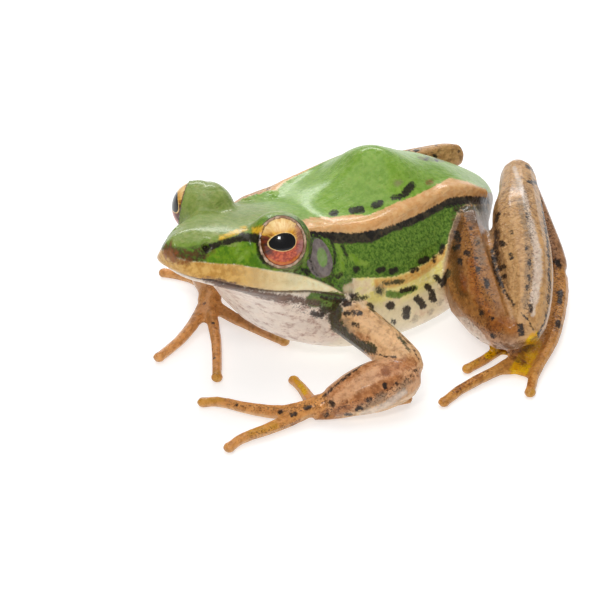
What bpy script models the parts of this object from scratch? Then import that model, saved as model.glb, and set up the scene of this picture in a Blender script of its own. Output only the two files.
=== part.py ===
"""Red-eared frog, an adult female, life size, seated with its head raised as a museum shows one.

Lengths below are in millimetres and angles in degrees; MM turns them into Blender's metres at the end.
The frog looks along -Y, its left side is +X and the floor is Z = 0. The body is one smooth form along
an axis that bends in the plane X = 0, parted at the neck and the mouth. The limbs are tubes of flesh
along their bones, parted at the joints.
"""

import math

import bmesh
import bpy
import numpy as np
from mathutils import Matrix, Vector

MM = 0.001
GAP = 0.3

# The animal
SNOUT_VENT = 60.5
NECK_AT = 24.2
SNOUT_AT = (-29.0, 20.3)
FLOOR = 0.0

# Along the body's axis, at this distance from the snout: (distance, value)
PITCH = ((0, 21.5), (21, 21.5), (27, 12.5), (32, 5), (40, 4), (50, 9), (61, 17))
HALF_WIDTH = (
    (0, 0.7), (0.5, 1.45), (1.4, 2.4), (3, 3.6), (6, 5.2), (9, 6.7), (12, 8.0), (16, 9.3), (20, 10.0),
    (24, 10.6), (28, 11.5), (34, 12.6), (40, 12.8), (46, 11.2), (51, 8.6), (56, 5.3), (59.3, 2.8),
    (60.5, 0.8),
)
SIDE_DROP = (
    (0, -1.9), (0.5, -1.0), (1.4, -0.3), (3, 0.1), (20, 0), (28, 3.0), (38, 5.0), (46, 3.6), (54, 0.8),
    (60.5, 0),
)
TOP = (
    (0, 2.85), (0.5, 3.5), (1.4, 4.0), (3, 4.45), (6, 4.9), (9, 5.3), (13, 5.7), (18, 6.0), (24, 6.3),
    (28, 7.15), (32, 8.65), (35, 10.35), (37.5, 11.55), (40.7, 10.3), (44.3, 8.2), (48, 6.7), (52, 4.9),
    (56, 3.1), (59, 1.7), (60.5, 0.8),
)
FOLD_UP = (
    (0, 2.5), (0.5, 2.7), (1.4, 3.1), (3, 3.7), (6, 4.4), (9, 4.95), (13, 5.35), (18, 5.6), (24, 5.8),
    (29, 6.05), (36, 5.95), (42, 5.85), (46.7, 5.3), (50, 4.1), (53.3, 2.8), (57, 1.6), (60.5, 0.5),
)
FOLD_OUT = (
    (0, 0.6), (1.4, 1.5), (3, 2.2), (6, 3.2), (9, 3.8), (13, 4.6), (18, 5.0), (21, 5.3), (24, 6.0), (28, 7.2),
    (33, 7.4), (42, 7.25), (46, 7.2), (50, 6.9), (53.3, 5.5), (57, 3.2), (60.5, 0.5),
)
BOTTOM = (
    (0, -1.8), (0.5, -0.7), (1.4, 0.5), (3, 1.3), (6, 2.0), (10, 2.9), (13.5, 4.3), (16, 6.0), (19, 8.2),
    (23, 9.9), (26, 10.3), (30, 9.8), (34, 9.4), (40, 8.9), (46, 7.9), (52, 5.7), (57, 3.0), (59.5, 1.6), (60.5, 0.8),
)
LOWER_POWER = ((0, 2.0), (5, 2.1), (19, 2.1), (24, 3.0), (30, 4.0), (40, 4.4), (50, 2.6), (60.5, 2.0))
SIDE_BULGE = ((0, 0.8), (12, 0.75), (24, 0.85), (34, 0.95), (50, 0.9), (60.5, 0.8))
BACK_BULGE = ((0, 0.85), (20, 0.85), (28, 0.55), (34, 0.5), (37, 0.8), (40, 0.95), (44, 0.9), (60.5, 0.85))

# The fold of skin along each side of the back, from behind the eye to the hip
FOLD_FROM, FOLD_TO = 16.5, 55.0
FOLD_HALF, FOLD_RISE = 1.1, 0.55

# Head features: distance from the snout, out from the middle, up from the mouth
EYES = {1: (12.1, 6.6, 4.9), -1: (12.0, 6.8, 4.4)}
EYE_RADIUS = 3.2
EYE_LOOKS = (0.68, -0.56, 0.47)
BROWS = {1: (12.5, 6.0, 4.55), -1: (12.4, 6.2, 4.05)}
BROW_RADII = (4.1, 3.9, 3.8)
LID_FACES, LID_AT = (0.75, -0.53, 0.38), 1.35
EAR = (17.8, 8.65, 3.35)
EAR_RADII = (1.65, 2.45)
EAR_THICK = 0.9
EAR_FACES = (0.90, 0.08, 0.43)
NOSTRIL = (3.5, 2.65, 3.1)
NOSTRIL_RADIUS = 0.45
MOUTH_FRONT, MOUTH_BACK = (3.0, -0.75), (22.0, -1.1)

BELLY_SIDES, FLANK_SIDES, BACK_SIDES = 7, 4, 4
HEAD_RINGS, TORSO_RINGS = 16, 19

COLOURS = {
    "green": (0.25, 0.42, 0.09), "cream": (0.72, 0.66, 0.52), "bronze": (0.50, 0.29, 0.14),
    "iris": (0.75, 0.33, 0.08), "ear": (0.24, 0.19, 0.18),
}


def clear_scene():
    for obj in list(bpy.data.objects):
        bpy.data.objects.remove(obj)


def smooth_curve(knots, at):
    """A smooth curve through (distance, value) knots that never overshoots them."""
    x, y = np.array(knots, float).T
    h, d = np.diff(x), np.diff(y) / np.diff(x)
    slope = np.zeros(len(x))
    same = d[:-1] * d[1:] > 0
    w1, w2 = 2 * h[1:] + h[:-1], h[1:] + 2 * h[:-1]
    with np.errstate(divide="ignore", invalid="ignore"):
        mean = (w1 + w2) / (w1 / d[:-1] + w2 / d[1:])
    slope[1:-1] = np.where(same, mean, 0.0)
    slope[0], slope[-1] = d[0], d[-1]
    at = np.clip(at, x[0], x[-1])
    i = np.clip(np.searchsorted(x, at, side="right") - 1, 0, len(h) - 1)
    t = (at - x[i]) / h[i]
    return (
        (2 * t**3 - 3 * t**2 + 1) * y[i]
        + (t**3 - 2 * t**2 + t) * h[i] * slope[i]
        + (3 * t**2 - 2 * t**3) * y[i + 1]
        + (t**3 - t**2) * h[i] * slope[i + 1]
    )


def body_axis():
    """Points (y, z) and pitches of the body's axis, every 0.25 mm from the snout."""
    step = 0.25
    along = np.arange(0, SNOUT_VENT + step, step)
    pitch = np.radians(smooth_curve(PITCH, along + step / 2))
    y = SNOUT_AT[0] + np.concatenate([[0], np.cumsum(np.cos(pitch) * step)])[:-1]
    z = SNOUT_AT[1] - np.concatenate([[0], np.cumsum(np.sin(pitch) * step)])[:-1]
    return along, y, z, np.radians(smooth_curve(PITCH, along))


AXIS = body_axis()


def axis_at(s):
    """The axis point at distance s, and the directions back along it and up across it."""
    along, y, z, pitch = AXIS
    p = np.interp(s, along, pitch)
    centre = Vector((0, np.interp(s, along, y), np.interp(s, along, z)))
    return centre, Vector((0, math.cos(p), -math.sin(p))), Vector((0, math.sin(p), math.cos(p)))


def on_body(s, out, up):
    """The point at distance s from the snout, out to the left and up from the axis."""
    centre, _, rise = axis_at(s)
    return centre + Vector((out, 0, 0)) + rise * up


def quadratic(start, bend, end, t):
    """A point of a curve from start to end that is drawn towards bend."""
    return tuple((1 - t) ** 2 * a + 2 * t * (1 - t) * b + t * t * c for a, b, c in zip(start, bend, end))


def fold_rise(s):
    """How high the fold stands at distance s; it fades in behind the eye and out at the hip."""
    fade = min((s - FOLD_FROM) / 3, (FOLD_TO - s) / 4, 1.0)
    return FOLD_RISE * max(fade, 0.0)


def half_section(s):
    """Points (out, up) of the left half of the section at distance s, from the belly to the back."""
    width, drop = float(smooth_curve(HALF_WIDTH, s)), float(smooth_curve(SIDE_DROP, s))
    depth, power = float(smooth_curve(BOTTOM, s)) - drop, float(smooth_curve(LOWER_POWER, s))
    points = []
    for i in range(BELLY_SIDES + 1):
        a = math.pi / 2 * i / BELLY_SIDES
        points.append((width * math.sin(a) ** (2 / power), -drop - depth * math.cos(a) ** (2 / power)))
    side, top = points[-1], (0.0, float(smooth_curve(TOP, s)))
    fold = (float(smooth_curve(FOLD_OUT, s)), float(smooth_curve(FOLD_UP, s)))
    bulge = float(smooth_curve(SIDE_BULGE, s))
    bend = (fold[0] + (side[0] - fold[0]) * bulge, side[1] + (fold[1] - side[1]) * 0.55)
    near = FOLD_HALF / max(math.dist(side, fold), 2.5)
    points += [quadratic(side, bend, fold, t) for t in np.linspace(0, 1 - near, FLANK_SIDES)[1:]]
    rise = fold_rise(s)
    points.append((fold[0] + rise * 0.5, fold[1] + rise * 0.85))
    hump = (fold[0] * 0.5, fold[1] + (top[1] - fold[1]) * float(smooth_curve(BACK_BULGE, s)))
    near = FOLD_HALF / max(math.dist(top, fold), 2.5)
    points += [quadratic(fold, hump, top, t) for t in np.linspace(near, 1, BACK_SIDES)]
    return points


def body_ring(s):
    """The body's closed section at distance s, as points in order."""
    left = half_section(s)
    right = [(-x, v) for x, v in reversed(left[1:-1])]
    return [on_body(s, x, v) for x, v in left + right]


def loft(rings, first_tip=None, last_tip=None):
    """A closed bmesh through rings of points; each end is a fan to a tip, or to its own middle."""
    bm = bmesh.new()
    made = [[bm.verts.new(p) for p in ring] for ring in rings]
    for a, b in zip(made, made[1:]):
        n = len(a)
        for i in range(n):
            bm.faces.new((a[i], a[(i + 1) % n], b[(i + 1) % n], b[i]))
    for ring, tip in ((made[0], first_tip), (made[-1], last_tip)):
        middle = tip or sum((v.co for v in ring), Vector()) / len(ring)
        hub = bm.verts.new(middle)
        for i in range(len(ring)):
            bm.faces.new((ring[i], ring[(i + 1) % len(ring)], hub))
    bmesh.ops.recalc_face_normals(bm, faces=bm.faces)
    return bm


def keep_side(bm, point, normal):
    """Cuts the bmesh flat at a plane and keeps what lies against its normal."""
    geom = bm.verts[:] + bm.edges[:] + bm.faces[:]
    bmesh.ops.bisect_plane(
        bm, geom=geom, dist=1e-5, plane_co=point, plane_no=normal, clear_outer=True
    )
    edges = [e for e in bm.edges if e.is_boundary]
    bmesh.ops.contextual_create(bm, geom=edges)
    bmesh.ops.recalc_face_normals(bm, faces=bm.faces)


def add_object(name, bm, colour=None):
    """Makes a named object in metres from a bmesh in millimetres."""
    bmesh.ops.triangulate(bm, faces=bm.faces)
    bm.transform(Matrix.Scale(MM, 4))
    mesh = bpy.data.meshes.new(name)
    bm.to_mesh(mesh)
    bm.free()
    mesh.shade_smooth()
    obj = bpy.data.objects.new(name, mesh)
    bpy.context.collection.objects.link(obj)
    if colour:
        mesh.materials.append(skin_of(colour))
    return obj


def skin_of(colour):
    if colour in bpy.data.materials:
        return bpy.data.materials[colour]
    material = bpy.data.materials.new(colour)
    material.use_nodes = True
    shader = material.node_tree.nodes["Principled BSDF"]
    shader.inputs["Base Color"].default_value = (*COLOURS[colour], 1)
    shader.inputs["Roughness"].default_value = 0.35
    shader.inputs["Metallic"].default_value = 0.0
    return material


def boolean(obj, others, operation):
    """Applies a Boolean of obj with each of the given objects, and removes them."""
    for other in others:
        modifier = obj.modifiers.new("boolean", "BOOLEAN")
        modifier.operation = operation
        modifier.object = other
        modifier.solver = "EXACT"
        bpy.context.view_layer.update()
        graph = bpy.context.evaluated_depsgraph_get()
        result = bpy.data.meshes.new_from_object(obj.evaluated_get(graph))
        obj.modifiers.remove(modifier)
        obj.data = result
        bpy.data.objects.remove(other)
    keep_largest(obj)


def keep_largest(obj):
    """Keeps only the largest closed surface of an object."""
    bm = bmesh.new()
    bm.from_mesh(obj.data)
    seen, shells = set(), []
    for start in bm.verts:
        if start in seen:
            continue
        shell, stack = [], [start]
        seen.add(start)
        while stack:
            v = stack.pop()
            shell.append(v)
            for e in v.link_edges:
                other = e.other_vert(v)
                if other not in seen:
                    seen.add(other)
                    stack.append(other)
        shells.append(shell)
    shells.sort(key=len)
    bmesh.ops.delete(bm, geom=[v for shell in shells[:-1] for v in shell], context="VERTS")
    bm.to_mesh(obj.data)
    bm.free()


def ball(name, centre, radii, turn=None, sides=16, rings=10):
    """An ellipsoid, in millimetres."""
    bm = bmesh.new()
    bmesh.ops.create_uvsphere(bm, u_segments=sides, v_segments=rings, radius=1)
    turn = turn or Matrix.Identity(3)
    bm.transform(Matrix.Translation(centre) @ turn.to_4x4() @ Matrix.Diagonal((*radii, 1)))
    return add_object(name, bm)


def grown(obj, by):
    """A copy of a solid with its surface moved out, which cuts a neighbour clear of it."""
    mesh = obj.data.copy()
    copy = bpy.data.objects.new(obj.name + "_clearance", mesh)
    bpy.context.collection.objects.link(copy)
    normals = [v.normal.copy() for v in mesh.vertices]
    for v, n in zip(mesh.vertices, normals):
        v.co += n * by * MM
    return copy


# Torso, head, jaw, eyes and ears
def make_torso():
    inner = np.linspace(NECK_AT + GAP / 2, SNOUT_VENT - 4, TORSO_RINGS)
    outer = SNOUT_VENT - np.array([2.4, 1.3, 0.5])
    rings = [body_ring(s) for s in [*inner, *outer]]
    bm = loft(rings, last_tip=on_body(SNOUT_VENT, 0, 0))
    return add_object("torso", bm, "green")


def head_form():
    front = [0.12, 0.5, 1.1]
    back = list(np.linspace(2.0, NECK_AT - GAP / 2, HEAD_RINGS))
    rings = [body_ring(s) for s in front + back]
    return loft(rings, first_tip=on_body(-0.05, 0, 0.8))


def eye_centre(side):
    p = on_body(*EYES[side])
    return Vector((p.x * side, p.y, p.z))


def eye_turn(side):
    """Turns +Z to the way an eye looks."""
    way = Vector((EYE_LOOKS[0] * side, EYE_LOOKS[1], EYE_LOOKS[2]))
    return way.to_track_quat("Z", "Y").to_matrix()


def brow(side):
    """The bulge of flesh that holds one eye, stopping short of the eye's front."""
    p = on_body(*BROWS[side])
    back, up = axis_at(BROWS[side][0])[1:]
    turn = Matrix((Vector((1, 0, 0)), back, up)).transposed()
    bm = bmesh.new()
    bmesh.ops.create_uvsphere(bm, u_segments=16, v_segments=10, radius=1)
    radii = Matrix.Diagonal((BROW_RADII[1], BROW_RADII[0], BROW_RADII[2], 1))
    bm.transform(Matrix.Translation((p.x * side, p.y, p.z)) @ turn.to_4x4() @ radii)
    faces = Vector((LID_FACES[0] * side, LID_FACES[1], LID_FACES[2])).normalized()
    keep_side(bm, eye_centre(side) + faces * LID_AT, faces)
    return add_object("brow", bm)


def ear_turn(side):
    """Turns +Z out of the side of the head, along the surface's normal at the ear."""
    out = Vector((EAR_FACES[0] * side, EAR_FACES[1], EAR_FACES[2]))
    return out.to_track_quat("Z", "Y").to_matrix()


def ear_disc(name, side, spare):
    """The eardrum as a slightly domed oval disc; spare makes it larger all round."""
    turn = ear_turn(side)
    p = on_body(EAR[0], EAR[1], EAR[2])
    middle = Vector((p.x * side, p.y, p.z))
    long_way = (EAR_RADII[0] + spare, EAR_RADII[1] + spare)
    rings = []
    for depth, share in ((-EAR_THICK / 2 - spare, 1.0), (EAR_THICK / 2 - 0.25, 1.0), (EAR_THICK / 2, 0.8)):
        depth += spare * 3 if depth > 0 else 0
        rings.append([])
        for i in range(20):
            a = math.tau * i / 20
            p = Vector((long_way[0] * share * math.cos(a), long_way[1] * share * math.sin(a), depth))
            rings[-1].append(middle + turn @ p)
    return add_object(name, loft(rings), "ear")


def make_head():
    mouth = on_body(MOUTH_FRONT[0], 0, MOUTH_FRONT[1])
    along = on_body(MOUTH_BACK[0], 0, MOUTH_BACK[1]) - mouth
    up = Vector((1, 0, 0)).cross(along).normalized()
    upper, lower = head_form(), head_form()
    keep_side(upper, mouth + up * GAP / 2, -up)
    keep_side(lower, mouth - up * GAP / 2, up)
    head = add_object("head", upper, "green")
    add_object("lower_jaw", lower, "cream")
    boolean(head, [brow(1), brow(-1)], "UNION")
    cutters = []
    for side in (1, -1):
        name = "left" if side > 0 else "right"
        turn = eye_turn(side)
        eye = ball("eye_" + name, eye_centre(side), (EYE_RADIUS,) * 3, turn, 18, 11)
        eye.data.materials.append(skin_of("iris"))
        cutters.append(ball("socket", eye_centre(side), (EYE_RADIUS + GAP,) * 3, turn, 16, 10))
        ear_disc("eardrum_" + name, side, 0.0)
        cutters.append(ear_disc("ear_recess", side, GAP))
        p = on_body(NOSTRIL[0], NOSTRIL[1], NOSTRIL[2])
        at = Vector((p.x * side, p.y, p.z))
        cutters.append(ball("nostril", at, (NOSTRIL_RADIUS, NOSTRIL_RADIUS * 1.5, NOSTRIL_RADIUS), None, 8, 6))
    boolean(head, cutters, "DIFFERENCE")


# Limbs: knots of a bone's path as (x, y, z, radius) on the left side, or mirrored by hand on the right
LIMBS = {
    "left": {
        "thigh": ((5.5, 18.3, 6.9, 4.0), (10, 15, 8.1, 4.9), (14.5, 11.6, 7.7, 4.6), (17.6, 8.6, 6.35, 4.5),
                  (21.2, 7.0, 5.55, 3.8), (24.2, 6.2, 5.35, 3.0), (25.9, 6.0, 5.4, 2.1)),
        "shank": ((26.0, 6.0, 5.4, 2.2), (24.9, 8.2, 6.3, 2.7), (22.5, 11.3, 7.9, 3.1),
                  (19.65, 14.15, 9.1, 3.5),
                  (16.6, 17.0, 9.9, 3.5), (13.0, 20.7, 10.4, 3.3), (9.3, 25.2, 10.6, 2.6),
                  (6.2, 28.8, 10.3, 2.2),
                  (5.0, 30.2, 10.0, 1.6)),
        "tarsus": ((4.9, 30.3, 9.8, 1.4), (6.2, 29.3, 9.4, 1.8), (9.6, 27.3, 8.3, 1.7),
                   (12.9, 25.6, 6.7, 1.55),
                   (16.0, 24.3, 4.2, 1.5), (17.6, 23.3, 2.6, 1.4)),
        "upper_arm": ((8.0, -7.6, 7.8, 2.6), (11.5, -7.8, 7.3, 2.55), (15.0, -8.0, 6.6, 2.45),
                      (18.4, -8.3, 5.7, 2.4),
                      (20.4, -8.5, 5.2, 2.2), (21.4, -8.7, 5.0, 1.6)),
        "forearm": ((21.3, -8.4, 4.8, 1.8), (20.6, -9.8, 4.4, 2.8), (19.0, -12.5, 3.75, 3.15),
                    (17.4, -15.2, 3.1, 2.7),
                    (16.1, -17.3, 2.5, 1.9), (15.5, -18.2, 2.2, 1.6)),
    },
    "right": {
        "thigh": ((-5.5, 19, 7.2, 4.0), (-9.4, 14.4, 6.2, 4.1), (-12.8, 10.9, 5.5, 3.7),
                  (-15.6, 8.3, 5.0, 3.2),
                  (-17.8, 6.5, 4.6, 2.7), (-19.4, 5.4, 4.4, 2.3), (-20.4, 4.7, 4.3, 1.7)),
        "shank": ((-20.5, 4.8, 4.2, 1.8), (-20.2, 6.9, 4.1, 2.2), (-19.1, 10.1, 4.2, 2.35),
                  (-17.2, 13.7, 5.0, 2.55), (-14.7, 17.7, 5.7, 2.55), (-11.7, 21.9, 6.8, 2.15),
                  (-8.6, 26.1, 7.8, 1.85), (-6.0, 29.4, 8.35, 1.75), (-5.1, 30.7, 8.35, 1.45)),
        "tarsus": ((-5.2, 30.8, 8.0, 1.3), (-6.9, 29.9, 7.4, 1.65), (-10.4, 27.9, 6.4, 1.7),
                   (-13.4, 26.2, 5.4, 1.6),
                   (-15.6, 24.9, 3.7, 1.5), (-16.8, 24.1, 2.5, 1.4)),
        "upper_arm": ((-7.6, -5.4, 7.6, 2.7), (-10.6, -4.4, 7.2, 2.8), (-13.5, -3.6, 6.5, 2.7),
                      (-16.2, -3.2, 5.7, 2.5),
                      (-18.0, -3.2, 5.2, 2.2), (-18.9, -3.2, 5.0, 1.6)),
        "forearm": ((-18.8, -3.0, 5.2, 1.7), (-17.9, -4.2, 5.0, 2.3), (-16.0, -6.0, 4.4, 2.5),
                    (-14.0, -7.6, 3.5, 2.1),
                    (-12.4, -8.8, 2.7, 1.6), (-11.8, -9.3, 2.3, 1.45)),
    },
}
JOINTS = {
    "left": {"knee": (25.0, 6.2, 5.4), "heel": (5.3, 29.8, 9.9), "ankle": (17.3, 23.5, 2.9),
             "elbow": (20.8, -8.6, 4.95), "wrist": (15.65, -17.5, 2.5)},
    "right": {"knee": (-19.9, 5.05, 4.3), "heel": (-5.6, 30.3, 8.15), "ankle": (-16.5, 24.3, 2.8),
              "elbow": (-18.3, -3.2, 5.2), "wrist": (-12.1, -9.05, 2.5)},
}
DIGITS = {
    "left": {
        "hand": (
            ((15.5, -17.7, 2.4), (14.0, -18.0, 1.6), (12.2, -17.2, 1.2), (10, -15.9, 0.9), (7.5, -14.8, 0.6)),
            ((15.5, -17.8, 2.4), (13.9, -19.4, 1.7), (12, -21.6, 1.3), (8.8, -23.2, 1.1), (6.6, -24.1, 1.1),
             (4.6, -24.6, 1.0), (2.7, -25.7, 0.6)),
            ((15.5, -17.8, 2.4), (14.2, -19.8, 1.7), (13.4, -23.0, 1.2), (12.7, -26.1, 1.1),
             (11.8, -28.4, 0.9),
             (11.7, -30.6, 0.6)),
            ((14.9, -18.9, 1.5), (16.2, -17.0, 1.0), (17.9, -14.0, 0.75), (19.4, -10.9, 0.7),
            (20.3, -8.6, 0.6)),
        ),
        "foot": (
            ((17.8, 23.2, 2.4), (19.9, 21.0, 1.9), (23.1, 16.6, 1.6), (25.9, 12.0, 1.3), (27.5, 8, 1.1),
             (28.9, 4.9, 0.9), (30.4, 2.5, 0.6)),
            ((17.8, 23.2, 2.3), (20.2, 18.6, 1.6), (22.9, 13.2, 1.2), (24.4, 8.6, 1.1), (24.75, 4.5, 1.0),
             (24.35, 0.6, 1.0), (23.95, -3.4, 0.8), (24.1, -6.1, 0.6)),
            ((17.7, 23.2, 2.3), (19.2, 18.2, 1.5), (20.8, 12.0, 1.1), (21.7, 7.4, 1.0), (21.9, 4.4, 0.9),
             (21.4, 1.4, 0.6)),
            ((17.6, 23.2, 2.2), (18.0, 18.4, 1.4), (18.6, 13.8, 1.0), (19.0, 11.2, 0.9), (19.0, 8.8, 0.6)),
            ((17.5, 23.2, 2.1), (16.8, 19.4, 1.3), (16.6, 16.4, 1.0), (16.0, 13.6, 0.6)),
        ),
    },
    "right": {
        "hand": (
            ((-11.9, -9.2, 2.4), (-11.0, -9.9, 1.6), (-8.6, -9.8, 1.1), (-4.7, -9.7, 0.9), (0.6, -9.1, 0.6)),
            ((-11.9, -9.2, 2.4), (-10.9, -10.6, 1.7), (-8.4, -12.5, 1.2), (-4.6, -15.8, 0.9),
            (0.1, -20.6, 0.6)),
            ((-11.9, -9.2, 2.4), (-11.2, -10.9, 1.7), (-10.0, -14.0, 1.2), (-8.75, -18.0, 0.9),
            (-8.3, -22.1, 0.6)),
            ((-11.0, -10.2, 1.5), (-13.0, -8.2, 1.1), (-15.6, -6.5, 0.9), (-18.9, -6.3, 0.7),
            (-21.8, -7.5, 0.6)),
        ),
        "foot": (
            ((-17.0, 24.0, 2.3), (-19.4, 21.6, 1.9), (-22.6, 17.0, 1.6), (-24.8, 12.6, 1.3),
             (-25.6, 8.6, 1.1),
             (-25.3, 5.2, 0.9), (-24.4, 2.6, 0.6)),
            ((-17.0, 24.0, 2.3), (-19.2, 19.8, 1.6), (-21.0, 14.2, 1.2), (-21.6, 9.2, 1.1), (-21.2, 4.8, 1.0),
             (-20.3, 1.0, 0.9), (-19.2, -3.2, 0.6)),
            ((-16.9, 24.0, 2.3), (-18.0, 19.2, 1.5), (-18.8, 13.4, 1.1), (-18.9, 8.6, 1.0), (-18.5, 5.4, 0.9),
             (-17.6, 2.4, 0.6)),
            ((-16.8, 24.0, 2.2), (-16.9, 19.4, 1.4), (-16.9, 14.8, 1.0), (-16.6, 11.0, 0.9),
            (-15.9, 8.0, 0.6)),
            ((-16.7, 24.0, 2.1), (-15.9, 20.4, 1.3), (-15.4, 17.4, 1.0), (-14.6, 14.8, 0.6)),
        ),
    },
}
DIGIT_ROOT, DIGIT_RADIUS, DIGIT_END, DISC = 1.25, 0.72, 0.62, (0.78, 0.6)
WEB_THICK = 0.55
# Two toes and how much of each their web reaches, counted from the outermost toe
WEBS = ((0, 1, 0.88, 0.72), (1, 2, 0.60, 0.76), (2, 3, 0.66, 0.84), (3, 4, 0.70, 0.86))


def curve_points(knots, steps):
    """Evenly spaced points, with any further columns, along a smooth curve through knots."""
    k = np.array(knots, float)
    along = np.concatenate([[0], np.cumsum(np.linalg.norm(np.diff(k[:, :3], axis=0), axis=1))])
    at = np.linspace(0, along[-1], steps)
    ends = np.vstack([2 * k[0] - k[1], k, 2 * k[-1] - k[-2]])
    out = []
    for t in at:
        i = min(max(int(np.searchsorted(along, t, side="right")) - 1, 0), len(k) - 2)
        u = (t - along[i]) / (along[i + 1] - along[i])
        p0, p1, p2, p3 = ends[i:i + 4]
        m1, m2 = (p2 - p0) / 2, (p3 - p1) / 2
        out.append(
            (2 * u**3 - 3 * u**2 + 1) * p1 + (u**3 - 2 * u**2 + u) * m1
            + (3 * u**2 - 2 * u**3) * p2 + (u**3 - u**2) * m2
        )
    return np.array(out)


def tube(path, sides, flat=1.0):
    """A closed tube along rows of (x, y, z, radius), with round ends; flat squashes it upright."""
    rings = []
    way = Vector(path[1][:3]) - Vector(path[0][:3])
    across = way.cross(Vector((0, 0, 1))).normalized()
    for i, row in enumerate(path):
        before, after = path[max(i - 1, 0)][:3], path[min(i + 1, len(path) - 1)][:3]
        way = (Vector(after) - Vector(before)).normalized()
        across = (across - way * across.dot(way)).normalized()
        rise = across.cross(way)
        middle, radius = Vector(row[:3]), row[3]
        rings.append([])
        for k in range(sides):
            a = math.tau * (k + 0.5) / sides
            rings[-1].append(middle + across * radius * math.cos(a) + rise * radius * flat * math.sin(a))
    start = Vector(path[0][:3]) - (Vector(path[1][:3]) - Vector(path[0][:3])).normalized() * path[0][3] * 0.55
    end = Vector(path[-1][:3]) + (Vector(path[-1][:3]) - Vector(path[-2][:3])).normalized() * path[-1][3] * 0.55
    return loft(rings, start, end)


def mitre(at, one, other):
    """The plane between two bones that meet at a joint, given a point along each: its normal."""
    at = Vector(at)
    return ((Vector(one) - at).normalized() - (Vector(other) - at).normalized()).normalized()


def part_limb(bm, at, normal):
    """Keeps the side of a joint's plane that the normal points to, half a gap away from it."""
    keep_side(bm, Vector(at) + normal * GAP / 2, -normal)


def body_clearance():
    """The whole body a gap larger all round, which the limbs' roots are fitted to."""
    rings = [body_ring(s) for s in np.arange(12, SNOUT_VENT - 2, 2.0)]
    whole = add_object("body", loft(rings, last_tip=on_body(SNOUT_VENT, 0, 0)))
    clearance = grown(whole, GAP + 0.05)
    bpy.data.objects.remove(whole)
    return clearance


def make_limbs(side):
    """The thigh, shank, tarsus, upper arm and forearm of one side."""
    bones, joints = LIMBS[side], JOINTS[side]
    flesh = {name: tube(curve_points(knots, 2 * len(knots) - 1), 12) for name, knots in bones.items()}
    middle = {name: knots[len(knots) // 2][:3] for name, knots in bones.items()}
    knee = mitre(joints["knee"], bones["thigh"][-3][:3], bones["shank"][2][:3])
    part_limb(flesh["thigh"], joints["knee"], knee)
    part_limb(flesh["shank"], joints["knee"], -knee)
    heel = mitre(joints["heel"], bones["shank"][-4][:3], bones["tarsus"][2][:3])
    part_limb(flesh["shank"], joints["heel"], heel)
    part_limb(flesh["tarsus"], joints["heel"], -heel)
    ankle = (Vector(bones["tarsus"][-2][:3]) - Vector(bones["tarsus"][-1][:3])).normalized()
    part_limb(flesh["tarsus"], joints["ankle"], ankle)
    elbow = mitre(joints["elbow"], middle["upper_arm"], middle["forearm"])
    part_limb(flesh["upper_arm"], joints["elbow"], elbow)
    part_limb(flesh["forearm"], joints["elbow"], -elbow)
    wrist = (Vector(bones["forearm"][-2][:3]) - Vector(bones["forearm"][-1][:3])).normalized()
    part_limb(flesh["forearm"], joints["wrist"], wrist)
    objects = {name: add_object(name + "_" + side, bm, "bronze") for name, bm in flesh.items()}
    for name in ("thigh", "upper_arm"):
        boolean(objects[name], [body_clearance()], "DIFFERENCE")
    make_digits(side, "hand", joints["wrist"], -wrist)
    make_digits(side, "foot", joints["ankle"], -ankle)


def digit(knots):
    """One finger or toe, thick at its root and ending in a small disc."""
    share = np.linspace(0, 1, len(knots))
    radii = np.interp(share, (0, 0.3, 0.6, 1), (DIGIT_ROOT, 0.95, DIGIT_RADIUS, DIGIT_END))
    rows = [(*knot, r) for knot, r in zip(knots, radii)]
    return tube(curve_points(rows, len(rows) + 3), 7)


def web(first, second, first_share, second_share):
    """The skin between two toes, thin and alike on both faces, out to a share of each toe."""
    n, fine = 7, 60
    one, two = curve_points(first, fine), curve_points(second, fine)
    one = one[np.linspace(0.12 * fine, first_share * fine, n).astype(int)]
    two = two[np.linspace(0.12 * fine, second_share * fine, n).astype(int)]
    rows = list(zip(one, two))
    bm = bmesh.new()
    layers = []
    for lift in (WEB_THICK / 2, -WEB_THICK / 2):
        layer = []
        for i, (a, b) in enumerate(rows):
            middle = (a + b) / 2
            if i == n - 1:
                middle = middle * 0.7 + (rows[i - 1][0] + rows[i - 1][1]) / 2 * 0.3
            layer.append([bm.verts.new((p[0], p[1], p[2] - 0.15 + lift)) for p in (a, middle, b)])
        layers.append(layer)
    top, bottom = layers
    for i in range(n - 1):
        for k in range(2):
            for layer in layers:
                a, b, c, d = layer[i][k], layer[i][k + 1], layer[i + 1][k + 1], layer[i + 1][k]
                bm.faces.new((a, b, c))
                bm.faces.new((a, c, d))
    rim = [(0, k) for k in range(3)] + [(i, 2) for i in range(1, n)]
    rim += [(n - 1, 1), (n - 1, 0)] + [(i, 0) for i in range(n - 2, 0, -1)]
    for (i, k), (j, m) in zip(rim, rim[1:] + rim[:1]):
        bm.faces.new((top[i][k], top[j][m], bottom[j][m]))
        bm.faces.new((top[i][k], bottom[j][m], bottom[i][k]))
    bmesh.ops.recalc_face_normals(bm, faces=bm.faces)
    return add_object("web", bm)


def tip_disc(path):
    """The swelling at a digit's tip."""
    return ball("disc", Vector(path[-1]), (DISC[0], DISC[0], DISC[1]), None, 8, 5)


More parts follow.
